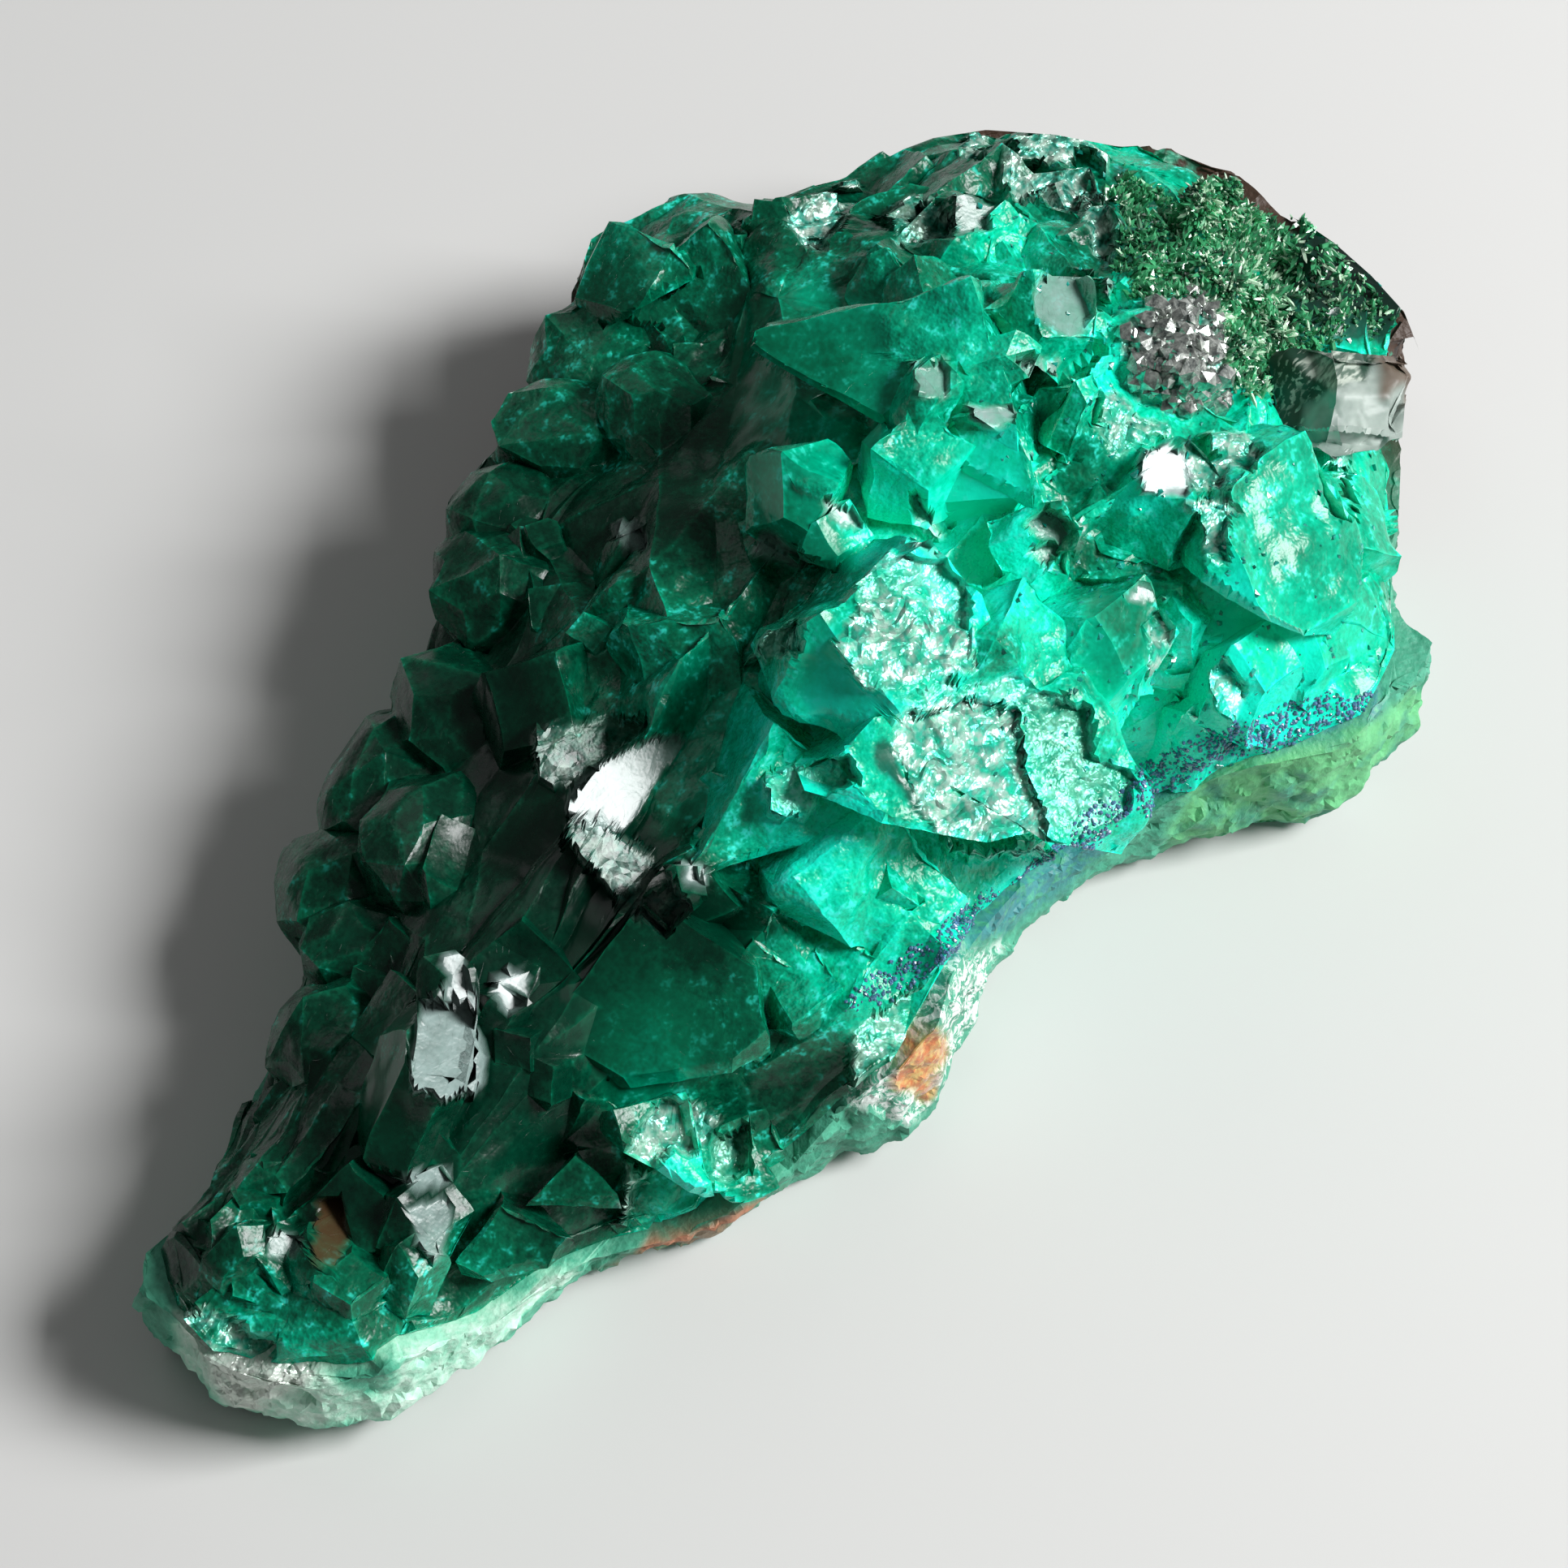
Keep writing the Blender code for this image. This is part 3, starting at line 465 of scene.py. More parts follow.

# How bright the green is about places in the picture: place, reach and level. The levels hold
# painted light and shade as well as the crystal's own tone: the dark slopes are partly painted
# shade and the turquoise patches partly painted light. Far from all of them it is FAR_LEVEL,
# which FAR_WEIGHT holds against the bells' last traces
TONE_WITH_PAINTED_LIGHT = (
    # Tail and the dark left slopes
    (450, 950, 110, 0.22), (480, 1080, 50, 0.10), (600, 870, 60, 0.06), (395, 1050, 45, 0.24),
    (560, 1080, 45, 0.24), (600, 690, 90, 0.20), (700, 500, 50, 0.34), (640, 490, 40, 0.24),
    (800, 620, 70, 0.14), (880, 490, 45, 0.07), (920, 600, 30, 0.50), (650, 1140, 60, 0.06),
    (650, 1330, 60, 0.08), (480, 1330, 40, 0.24), (350, 1390, 50, 0.20), (310, 1480, 40, 0.34),
    (230, 1560, 50, 0.10), (430, 1480, 50, 0.10), (560, 1400, 50, 0.20), (400, 1590, 50, 0.36),
    (350, 1645, 45, 0.64), (285, 1630, 35, 0.60), (560, 1590, 50, 0.42), (700, 1450, 60, 0.24),
    (760, 520, 40, 0.44),
    # Far left block and the ridge
    (820, 320, 60, 0.46), (780, 400, 50, 0.28), (950, 300, 50, 0.30), (850, 840, 60, 0.50),
    (770, 770, 50, 0.52), (750, 870, 50, 0.36), (715, 930, 30, 0.16), (920, 850, 50, 0.60),
    (950, 690, 50, 0.38), (920, 920, 40, 0.70),
    # The dark gem and what stands about it
    (900, 1140, 40, 0.12), (780, 1130, 60, 0.12), (760, 1070, 30, 0.10), (760, 1220, 60, 0.30),
    (800, 1315, 50, 0.58), (950, 1330, 50, 0.22), (850, 1460, 40, 0.86), (960, 1440, 40, 0.50),
    # Smooth block and the top edge
    (930, 500, 50, 0.50), (1030, 430, 60, 0.36), (1050, 540, 50, 0.68), (1180, 430, 50, 0.60),
    (1120, 370, 50, 0.60), (1060, 300, 50, 0.28), (1130, 220, 60, 0.40), (1260, 290, 28, 1.00),
    (1010, 350, 25, 0.90), (1300, 270, 35, 0.34), (1440, 180, 45, 0.68), (1300, 500, 60, 0.62),
    (1380, 460, 35, 1.10), (1330, 590, 30, 0.24), (1230, 380, 40, 0.62),
    # Middle
    (970, 620, 45, 0.52), (1080, 615, 40, 1.10), (1170, 600, 40, 0.80), (1240, 590, 35, 1.08),
    (1240, 720, 50, 1.22), (1290, 790, 40, 0.94), (1230, 800, 25, 0.26), (1010, 820, 50, 0.66),
    (1000, 910, 50, 0.98), (1120, 790, 40, 0.74), (1200, 940, 60, 0.92), (1340, 900, 50, 0.78),
    (1400, 960, 40, 0.92),
    # Right
    (1445, 880, 45, 1.10), (1380, 800, 40, 0.56), (1430, 690, 50, 0.54), (1330, 690, 35, 0.24),
    (1400, 690, 30, 0.66), (1390, 620, 35, 1.10), (1480, 680, 30, 0.66), (1490, 750, 35, 1.02),
    (1560, 680, 50, 0.78), (1590, 830, 60, 1.02), (1555, 770, 35, 1.10), (1480, 905, 30, 1.05),
    (1640, 600, 50, 0.80), (1680, 760, 60, 0.74),
    # The bulging mass
    (900, 1000, 40, 0.62), (1050, 960, 50, 0.90), (1020, 1060, 60, 0.96), (1110, 1140, 60, 0.76),
    (1220, 1080, 50, 0.96), (1000, 1180, 50, 0.72), (930, 1250, 40, 0.46), (1250, 1090, 30, 0.86),
)
FAR_LEVEL = 0.3
FAR_WEIGHT = 1e-4

# The far edge of the head in the picture, from left to right
HEAD_EDGE = (
    (1090, 196), (1113, 184), (1150, 170), (1215, 160), (1300, 166), (1380, 181), (1480, 174),
    (1502, 186), (1530, 216), (1560, 246), (1580, 262), (1610, 276), (1645, 300), (1690, 340),
    (1730, 384), (1746, 425), (1765, 480))


def trimmed(points: np.ndarray, most: float = 60.0) -> np.ndarray:
    """Bring points that stick out past the head's far edge down to it, in the picture's plane.

    Args:
        points: places, an array of N by 3.
        most: how far out a point may be, in the picture's pixels, and still come all the way.

    Returns:
        The places after the move.
    """
    seen, depth = VIEW.seen(points)
    edge = np.array(HEAD_EDGE, float)
    over = np.interp(seen[:, 0], edge[:, 0], edge[:, 1], -math.inf, -math.inf) - seen[:, 1]
    per_pixel = depth * VIEW.sensor / 2.0 / VIEW.lens / VIEW.half_width
    return points - VIEW.axes()[1] * (np.clip(over, 0.0, most) * per_pixel)[:, None]


def tone_with_painted_light(seen: np.ndarray) -> np.ndarray:
    """The level about each place: the mean of the listed ones, weighed by a bell round each.

    The levels hold painted light and shade as well as the crystal's own tone.

    Args:
        seen: places in the picture.

    Returns:
        One level for each, from 0 to about 1, painted light and shade included.
    """
    total = np.full(len(seen), FAR_LEVEL * FAR_WEIGHT)
    weights = np.full(len(seen), FAR_WEIGHT)
    for x, y, reach, level in TONE_WITH_PAINTED_LIGHT:
        far = (seen[:, 0] - x) ** 2 + (seen[:, 1] - y) ** 2
        weight = np.exp(-far / (2.0 * reach * reach))
        total += weight * level
        weights += weight
    return total / weights


@dataclass
class Surface:
    """A closed surface of triangles, each with the number of the flat facet that it lies on."""

    points: np.ndarray
    triangles: np.ndarray
    facets: np.ndarray

    @classmethod
    def of_node(cls, node: str) -> "Surface":
        """Read a solid of the frame and merge its loose triangles.

        Args:
            node: the solid's name.

        Returns:
            Its surface in millimetres, with its flat facets numbered.
        """
        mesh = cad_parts[node].data
        mesh.calc_loop_triangles()
        places = np.empty(3 * len(mesh.vertices), np.float32)
        mesh.vertices.foreach_get("co", places)
        corners = np.empty(3 * len(mesh.loop_triangles), np.int32)
        mesh.loop_triangles.foreach_get("vertices", corners)
        places = np.round(places.reshape(-1, 3).astype(float) / MM, 4)
        points, back = np.unique(places, axis=0, return_inverse=True)
        triangles = back.reshape(-1)[corners].reshape(-1, 3)
        real = (triangles != np.roll(triangles, 1, axis=1)).all(axis=1)
        made = cls(points, triangles[real], np.arange(real.sum()))
        made.facets = made.flat_facets()
        return made

    def face_vectors(self) -> np.ndarray:
        """For each triangle its normal, as long as twice its area."""
        a, b, c = (self.points[self.triangles[:, k]] for k in range(3))
        return np.cross(b - a, c - a)

    def sides(self) -> tuple[np.ndarray, np.ndarray]:
        """The edges of the surface.

        Returns:
            The pairs of points, each once, and for each triangle which three of them it has.
        """
        pairs = self.triangles[:, [[0, 1], [1, 2], [2, 0]]].reshape(-1, 2)
        pairs = np.sort(pairs, axis=1)
        key = pairs[:, 0].astype(np.int64) * len(self.points) + pairs[:, 1]
        _, first, back = np.unique(key, return_index=True, return_inverse=True)
        return pairs[first], back.reshape(-1, 3)

    def neighbours(self) -> tuple[np.ndarray, np.ndarray, np.ndarray]:
        """The pairs of triangles that share an edge.

        Returns:
            The first triangle, the second, and the edge's number, for each shared edge.
        """
        _, back = self.sides()
        order = np.argsort(back.reshape(-1), kind="stable")
        edge = back.reshape(-1)[order]
        owner = order // 3
        same = edge[1:] == edge[:-1]
        return owner[:-1][same], owner[1:][same], edge[1:][same]

    def flat_facets(self, level: float = 0.9996) -> np.ndarray:
        """Number the facets: triangles that share an edge and lie in one plane share a number.

        Args:
            level: two normals lie in one plane when their product is above this.

        Returns:
            One facet's number for each triangle.
        """
        normals = unit(self.face_vectors())
        one, other, _ = self.neighbours()
        flat = np.sum(normals[one] * normals[other], axis=1) > level
        one, other = one[flat], other[flat]
        label = np.arange(len(self.triangles))
        while True:
            low = np.minimum(label[one], label[other])
            new = label.copy()
            np.minimum.at(new, one, low)
            np.minimum.at(new, other, low)
            new = new[new]
            if (new == label).all():
                return np.unique(label, return_inverse=True)[1]
            label = new

    def refined(self, longest: np.ndarray | float) -> "Surface":
        """Halve every edge that is too long, again and again, and keep the triangles' facets.

        Args:
            longest: the longest edge that stays, one value or one for each facet.

        Returns:
            The finer surface; it is as closed as it was.
        """
        points, triangles, facets = self.points, self.triangles, self.facets
        limits = np.broadcast_to(longest, (facets.max() + 1,))
        while True:
            now = Surface(points, triangles, facets)
            edges, back = now.sides()
            length = np.linalg.norm(points[edges[:, 0]] - points[edges[:, 1]], axis=1)
            limit = np.full(len(edges), np.inf)
            np.minimum.at(limit, back.reshape(-1), np.repeat(limits[facets], 3))
            split = length > limit
            if not split.any():
                return now
            middle = np.full(len(edges), -1)
            middle[split] = len(points) + np.arange(split.sum())
            points = np.concatenate([points, points[edges[split]].mean(axis=1)])
            triangles, source = cut_triangles(triangles, middle[back])
            facets = facets[source]

    def point_normals(self) -> np.ndarray:
        """The surface's direction at every point.

        Returns:
            For each point the mean normal of its triangles, weighed by their areas.
        """
        total = np.zeros_like(self.points)
        vectors = self.face_vectors()
        for corner in range(3):
            np.add.at(total, self.triangles[:, corner], vectors)
        return unit(total)

    def facet_values(self) -> tuple[np.ndarray, np.ndarray, np.ndarray]:
        """Measure the facets.

        Returns:
            For each facet its area, its middle and its normal.
        """
        vectors = self.face_vectors()
        count = self.facets.max() + 1
        area = np.linalg.norm(vectors, axis=1) / 2.0
        middles = self.points[self.triangles].mean(axis=1)
        total, centre, normal = np.zeros(count), np.zeros((count, 3)), np.zeros((count, 3))
        np.add.at(total, self.facets, area)
        np.add.at(centre, self.facets, middles * area[:, None])
        np.add.at(normal, self.facets, vectors)
        return total, centre / total[:, None], unit(normal)

    def to_points(self, facet_numbers: np.ndarray) -> np.ndarray:
        """Carry one value per facet to the points: the mean over the triangles around each.

        Args:
            facet_numbers: one value for each facet.

        Returns:
            One value for each point.
        """
        total, count = np.zeros(len(self.points)), np.zeros(len(self.points))
        for corner in range(3):
            np.add.at(total, self.triangles[:, corner], facet_numbers[self.facets])
            np.add.at(count, self.triangles[:, corner], 1.0)
        return total / np.maximum(count, 1.0)

    def eased(self, numbers: np.ndarray, rounds: int = 2) -> np.ndarray:
        """Numbers of the points, each mixed again and again with the mean of its neighbours'.

        Args:
            numbers: one for each point.
            rounds: how many times they are mixed.

        Returns:
            The softer numbers.
        """
        edges, _ = self.sides()
        count = np.bincount(edges.reshape(-1), minlength=len(self.points))
        for _ in range(rounds):
            total = np.bincount(edges[:, 0], numbers[edges[:, 1]], len(self.points))
            total += np.bincount(edges[:, 1], numbers[edges[:, 0]], len(self.points))
            numbers = 0.5 * numbers + 0.5 * total / np.maximum(count, 1)
        return numbers

    def crease_distance(self, normals: np.ndarray, level: float = 0.98,
                        rounds: int = 14) -> tuple[np.ndarray, np.ndarray]:
        """How far each point is from the nearest crease, along the edges, and if it is convex.

        Args:
            normals: the facets' normals.
            level: a crease is where two facets' normals have a smaller product than this.
            rounds: how many edges far the distance is followed.

        Returns:
            The distance of every point, and for each point 1 on a convex crease or 0.
        """
        edges, _ = self.sides()
        one, other, edge = self.neighbours()
        facet_one, facet_other = self.facets[one], self.facets[other]
        sharp = np.sum(normals[facet_one] * normals[facet_other], axis=1) < level
        middles = self.points[self.triangles].mean(axis=1)
        outward = np.sum(normals[facet_one] * (middles[other] - middles[one]), axis=1) < 0.0
        distance = np.full(len(self.points), 9.0)
        distance[edges[edge[sharp]].reshape(-1)] = 0.0
        convex = np.zeros(len(self.points))
        convex[edges[edge[sharp & outward]].reshape(-1)] = 1.0
        length = np.linalg.norm(self.points[edges[:, 0]] - self.points[edges[:, 1]], axis=1)
        for _ in range(rounds):
            np.minimum.at(distance, edges[:, 0], distance[edges[:, 1]] + length)
            np.minimum.at(distance, edges[:, 1], distance[edges[:, 0]] + length)
        return distance, convex

    def crease_keys(self, normals: np.ndarray, level: float) -> np.ndarray:
        """The edges at which two facets meet at an angle.

        Args:
            normals: the facets' normals.
            level: two facets meet at an angle when their normals' product is below this.

        Returns:
            Each edge as one whole number: its first point times the count, plus its second.
        """
        edges, _ = self.sides()
        one, other, edge = self.neighbours()
        product = np.sum(normals[self.facets[one]] * normals[self.facets[other]], axis=1)
        return edges[edge[product < level]] @ np.array((len(self.points), 1))

    def scatter(self, weights: np.ndarray, count: int,
                chance: np.random.Generator) -> tuple[np.ndarray, np.ndarray]:
        """Pick places on the surface at random.

        Args:
            weights: how likely a place is on each triangle, for equal areas.
            count: how many places are picked.
            chance: where the random numbers come from.

        Returns:
            The places and the surface's normals there.
        """
        vectors = self.face_vectors()
        likely = np.linalg.norm(vectors, axis=1) * weights
        picked = chance.choice(len(likely), count, p=likely / likely.sum())
        u, v = chance.uniform(size=(2, count))
        over = u + v > 1.0
        u, v = np.where(over, 1.0 - u, u), np.where(over, 1.0 - v, v)
        a, b, c = (self.points[self.triangles[picked, k]] for k in range(3))
        return a + (b - a) * u[:, None] + (c - a) * v[:, None], unit(vectors[picked])

    def to_object(self, name: str, values: dict[str, np.ndarray] | None = None,
                  sharp_angle: float | None = 28.0,
                  creases: np.ndarray | None = None) -> bpy.types.Object:
        """Make a Blender object of the surface.

        Args:
            name: the piece's name.
            values: named numbers or directions, one for each point, which materials read.
            sharp_angle: edges sharper than this are shaded as edges; None shades all flat.
            creases: further edges that are shaded as edges, as whole numbers.

        Returns:
            The object, at the origin.
        """
        mesh = bpy.data.meshes.new(name)
        mesh.vertices.add(len(self.points))
        mesh.vertices.foreach_set("co", (self.points * MM).astype(np.float32).reshape(-1))
        mesh.loops.add(self.triangles.size)
        mesh.loops.foreach_set("vertex_index", self.triangles.astype(np.int32).reshape(-1))
        mesh.polygons.add(len(self.triangles))
        starts = np.arange(0, self.triangles.size, 3, dtype=np.int32)
        mesh.polygons.foreach_set("loop_start", starts)
        mesh.update(calc_edges=True)
        for key, numbers in (values or {}).items():
            kind, field = ("FLOAT", "value") if numbers.ndim == 1 else ("FLOAT_VECTOR", "vector")
            made = mesh.attributes.new(key, kind, "POINT")
            made.data.foreach_set(field, numbers.astype(np.float32).reshape(-1))
        if sharp_angle is None:
            mesh.shade_flat()
        else:
            mesh.shade_smooth()
            mesh.set_sharp_from_angle(angle=math.radians(sharp_angle))
        if creases is not None:
            pairs = np.empty(2 * len(mesh.edges), np.int32)
            mesh.edges.foreach_get("vertices", pairs)
            pairs = np.sort(pairs.reshape(-1, 2), axis=1).astype(np.int64)
            sharp = np.empty(len(mesh.edges), bool)
            mesh.edges.foreach_get("use_edge_sharp", sharp)
            sharp |= np.isin(pairs @ np.array((len(self.points), 1)), creases)
            mesh.edges.foreach_set("use_edge_sharp", sharp)
        thing = bpy.data.objects.new(name, mesh)
        bpy.context.scene.collection.objects.link(thing)
        return thing


def cut_triangles(triangles: np.ndarray, middle: np.ndarray) -> tuple[np.ndarray, np.ndarray]:
    """Cut triangles at the middles of their marked edges.

    Args:
        triangles: the three points of each.
        middle: the middle point of each of its edges (from point k to point k + 1), or -1.

    Returns:
        The new triangles, and for each the number of the one that it comes from.
    """
    marked = middle >= 0
    count = marked.sum(axis=1)
    parts, sources = [triangles[count == 0]], [np.flatnonzero(count == 0)]
    patterns = (
        ((0, 3, 2), (3, 1, 2)),
        ((3, 1, 4), (0, 3, 4), (0, 4, 2)),
        ((0, 3, 5), (3, 1, 4), (5, 4, 2), (3, 4, 5)),
    )
    for wanted, pieces in enumerate(patterns, 1):
        chosen = np.flatnonzero(count == wanted)
        if wanted == 2:
            turn = (np.argmin(marked[chosen], axis=1) + 1) % 3
        else:
            turn = np.argmax(marked[chosen], axis=1)
        columns = (turn[:, None] + np.arange(3)) % 3
        corners = np.take_along_axis(triangles[chosen], columns, axis=1)
        middles = np.take_along_axis(middle[chosen], columns, axis=1)
        six = np.concatenate([corners, middles], axis=1)
        for piece in pieces:
            parts.append(six[:, piece])
            sources.append(chosen)
    return np.concatenate(parts), np.concatenate(sources)


class Grain(Enum):
    """The closed shapes that small bodies are made of: points, and triangles facing out."""

    PRISM = "prism"
    LUMP = "lump"
    CHIP = "chip"

    def shape(self) -> tuple[np.ndarray, np.ndarray]:
        """Work out the shape, about one unit wide with its foot at nought.

        A prism is a square ring, a smaller ring above it and a tip; a chip is a plate with
        three points over it; a lump is the body of twelve points that are each one of the
        cyclic turns of (0, +-1, +-golden ratio), with every close three of them a triangle.

        Returns:
            Its points and its triangles.
        """
        if self is Grain.PRISM:
            turn = np.radians(45.0 + 90.0 * np.arange(4))
            ring = np.stack([np.cos(turn), np.sin(turn), np.zeros(4)], axis=1) * 0.6
            top = ring * (0.8, 0.8, 1.0) + (0.0, 0.0, 1.1)
            points = np.concatenate([ring - (0, 0, 0.4), top, [[0.12, 0.05, 1.7]]])
            sides = [(k, (k + 1) % 4, 4 + (k + 1) % 4, 4 + k) for k in range(4)]
            faces = [tri for a, b, c, d in sides for tri in ((a, b, c), (a, c, d))]
            faces += [(4 + k, 4 + (k + 1) % 4, 8) for k in range(4)] + [(0, 2, 1), (0, 3, 2)]
            return points, np.array(faces)
        if self is Grain.CHIP:
            points = np.array([
                (-0.5, -0.4, -0.2), (0.5, -0.5, -0.2), (0.6, 0.4, -0.2), (-0.4, 0.5, -0.2),
                (-0.2, -0.1, 0.5), (0.4, -0.2, 0.35), (0.2, 0.3, 0.45),
            ])
            faces = np.array([
                (0, 2, 1), (0, 3, 2), (0, 1, 5), (0, 5, 4), (1, 2, 5), (2, 6, 5),
                (2, 3, 6), (3, 4, 6), (3, 0, 4), (4, 5, 6),
            ])
            return points, faces
        golden = (1.0 + 5.0**0.5) / 2.0
        points = [(0, a, b * golden) for a in (-1, 1) for b in (-1, 1)]
        points = np.array(points + [p[1:] + p[:1] for p in points] + [p[2:] + p[:2] for p in points])
        points = unit(points.astype(float)) * 0.55
        faces = [
            (a, b, c) for a in range(12) for b in range(a + 1, 12) for c in range(b + 1, 12)
            if max(np.linalg.norm(points[a] - points[b]), np.linalg.norm(points[b] - points[c]),
                   np.linalg.norm(points[a] - points[c])) < 0.6
        ]
        faces = np.array(faces)
        a, b, c = (points[faces[:, k]] for k in range(3))
        inward = np.sum(np.cross(b - a, c - a) * a, axis=1) < 0.0
        faces[inward] = faces[inward][:, ::-1]
        return points, faces


def grown_on(places: np.ndarray, ups: np.ndarray, widths: np.ndarray, heights: np.ndarray,
             grain: Grain, chance: np.random.Generator) -> Surface:
    """Set one small body on each place, its own Z along the place's direction.

    A body's points are its shape's points, stretched by width, width and height, turned by the
    three directions across and along the place's own, and carried to the place.

    Args:
        places: where they stand.
        ups: which way each points.
        widths: how wide each is.
        heights: how tall each is.
        grain: their shape.
        chance: where their spin comes from.

    Returns:
        All of them in one surface; each body is a facet of its own.
    """
    points, faces = grain.shape()
    ups = unit(ups)
    side = unit(np.cross(ups, unit(chance.normal(size=ups.shape))))
    across = np.cross(ups, side)
    stretch = np.stack([widths, widths * chance.uniform(0.7, 1.2, len(widths)), heights], axis=1)
    local = points[None] * stretch[:, None, :]
    axes = np.stack([side, across, ups], axis=1)
    placed = np.einsum("nki,nij->nkj", local, axes) + places[:, None, :]
    triangles = faces[None] + (np.arange(len(places)) * len(points))[:, None, None]
    facets = np.repeat(np.arange(len(places)), len(faces))
    return Surface(placed.reshape(-1, 3), triangles.reshape(-1, 3), facets)


class Value:
    """A shader socket that takes part in arithmetic: each operation adds its Math node."""

    def __init__(self, tree: bpy.types.NodeTree, socket: bpy.types.NodeSocket) -> None:
        """Keep the socket and the tree that it is in."""
        self.tree = tree
        self.socket = socket

    def _math(self, operation: str, first: "Value | float", second: "Value | float") -> "Value":
        """Add a Math node.

        Args:
            operation: what it does.
            first: its first value or number.
            second: its second value or number.

        Returns:
            Its result.
        """
        node = self.tree.nodes.new("ShaderNodeMath")
        node.operation = operation
        for place, given in zip(node.inputs, (first, second)):
            if isinstance(given, Value):
                self.tree.links.new(given.socket, place)
            else:
                place.default_value = given
        return Value(self.tree, node.outputs[0])

    def __add__(self, other: "Value | float") -> "Value":
        """The sum."""
        return self._math("ADD", self, other)

    __radd__ = __add__

    def __sub__(self, other: "Value | float") -> "Value":
        """The difference."""
        return self._math("SUBTRACT", self, other)

    def __rsub__(self, other: "Value | float") -> "Value":
        """The difference, with this value taken off."""
        return self._math("SUBTRACT", other, self)

    def __mul__(self, other: "Value | float") -> "Value":
        """The product."""
        return self._math("MULTIPLY", self, other)

    __rmul__ = __mul__

    def __truediv__(self, other: "Value | float") -> "Value":
        """The quotient."""
        return self._math("DIVIDE", self, other)

    def at_most(self, other: "Value | float") -> "Value":
        """The lesser of the two."""
        return self._math("MINIMUM", self, other)

    def at_least(self, other: "Value | float") -> "Value":
        """The greater of the two."""
        return self._math("MAXIMUM", self, other)

    def share(self) -> "Value":
        """The value kept between 0 and 1."""
        return self.at_least(0.0).at_most(1.0)

    def between(self, low: float, high: float) -> "Value":
        """Nought at `low`, one at `high`, in a straight line between them."""
        return ((self - low) / (high - low)).share()


class Paint:
    """A material that is being drawn up, and the one way in which its nodes are made."""

    # How the boxes of the flakes are turned, stretched and bent, and the middle of one
    FLAKE_TURN = (0.6, 0.4, 0.9)
    FLAKE_STRETCH = (0.55, 1.6, 1.0)
    FLAKE_BEND = (5.0, 7.0, 4.0)
    MIDDLE = (0.5, 0.5, 0.5)

    def __init__(self, name: str) -> None:
        """Start with an empty node tree and its output."""
        self.material = bpy.data.materials.new(name)
        self.material.use_nodes = True
        self.tree = self.material.node_tree
        self.tree.nodes.clear()
        self.output = self.tree.nodes.new("ShaderNodeOutputMaterial")
        self.place = self.node("ShaderNodeTexCoord", output="Object")

    def node(self, kind: str, settings: dict | None = None, inputs: dict | None = None,
             output: int | str = 0) -> Value:
        """Add a node.

        Args:
            kind: the node's type.
            settings: properties of the node, set before its sockets.
            inputs: what each socket, by name or number, is set or linked to.
            output: which of its outputs is wanted.

        Returns:
            That output.
        """
        made = self.tree.nodes.new(kind)
        for key, setting in (settings or {}).items():
            if key == "stops":
                self._set_stops(made.color_ramp, setting)
            else:
                setattr(made, key, setting)
        for key, given in (inputs or {}).items():
            if isinstance(given, Value):
                self.tree.links.new(given.socket, made.inputs[key])
            else:
                made.inputs[key].default_value = given
        return Value(self.tree, made.outputs[output])

    @staticmethod
    def _set_stops(ramp: bpy.types.ColorRamp, stops: tuple) -> None:
        """Give a ramp its stops.

        Args:
            ramp: the ramp.
            stops: a place and a colour for each.
        """
        while len(ramp.elements) > len(stops):
            ramp.elements.remove(ramp.elements[-1])
        while len(ramp.elements) < len(stops):
            ramp.elements.new(1.0)
        for element, (place, colour) in zip(ramp.elements, stops):
            element.position = place
            element.color = (*colour, 1.0)

    def noise(self, size: float, detail: float = 2.0, rough: float = 0.5,
              warp: float = 0.0) -> Value:
        """Noise from 0 to 1.

        Args:
            size: about how many millimetres wide its patches are.
            detail: how many finer layers it has.
            rough: how strong the finer layers are.
            warp: how much it is bent.

        Returns:
            The noise.
        """
        inputs = {"Vector": self.place, "Scale": 1.0 / (size * MM), "Detail": detail,
                  "Roughness": rough, "Distortion": warp}
        return self.node("ShaderNodeTexNoise", inputs=inputs)

    def cells(self, size: float) -> Value:
        """A pattern of cells about `size` millimetres wide."""
        inputs = {"Vector": self.place, "Scale": 1.0 / (size * MM)}
        return self.node("ShaderNodeTexVoronoi", {"feature": "F1"}, inputs, "Distance")

    def flakes(self, size: float, rise: float, wander: Value) -> Value:
        """Heights in millimetres of flat flakes about `size` wide, each sloping its own way.

        Space is cut into crooked boxes; a flake's height is the way from its box's middle
        times a random direction of the box's own.

        Args:
            size: the width of a flake.
            rise: how much the steepest ones rise for each millimetre.
            wander: a value that bends the flakes' outlines.

        Returns:
            The heights.
        """
        scale = 1.0 / (size * MM)
        turned = self.node("ShaderNodeMapping", inputs={
            "Vector": self.place, "Rotation": self.FLAKE_TURN,
            "Scale": tuple(scale * stretch for stretch in self.FLAKE_STRETCH)})
        bent = self.node("ShaderNodeVectorMath", {"operation": "MULTIPLY_ADD"}, {
            0: wander, 1: self.FLAKE_BEND, 2: turned})
        box = self.node("ShaderNodeVectorMath", {"operation": "FLOOR"}, {0: bent})
        way = self.node("ShaderNodeVectorMath", {"operation": "SUBTRACT"}, {0: bent, 1: box})
        middle = self.node("ShaderNodeVectorMath", {"operation": "SUBTRACT"}, {
            0: way, 1: self.MIDDLE})
        random = self.node("ShaderNodeTexWhiteNoise", inputs={"Vector": box}, output="Color")
        lean = self.node("ShaderNodeVectorMath", {"operation": "SUBTRACT"}, {
            0: random, 1: self.MIDDLE})
        height = self.node("ShaderNodeVectorMath", {"operation": "DOT_PRODUCT"},
                           {0: middle, 1: lean}, "Value")
        return height * (rise * size)

    def number(self, name: str) -> Value:
        """The piece's own numbers of that name."""
        return self.node("ShaderNodeAttribute", {"attribute_name": name}, output="Fac")

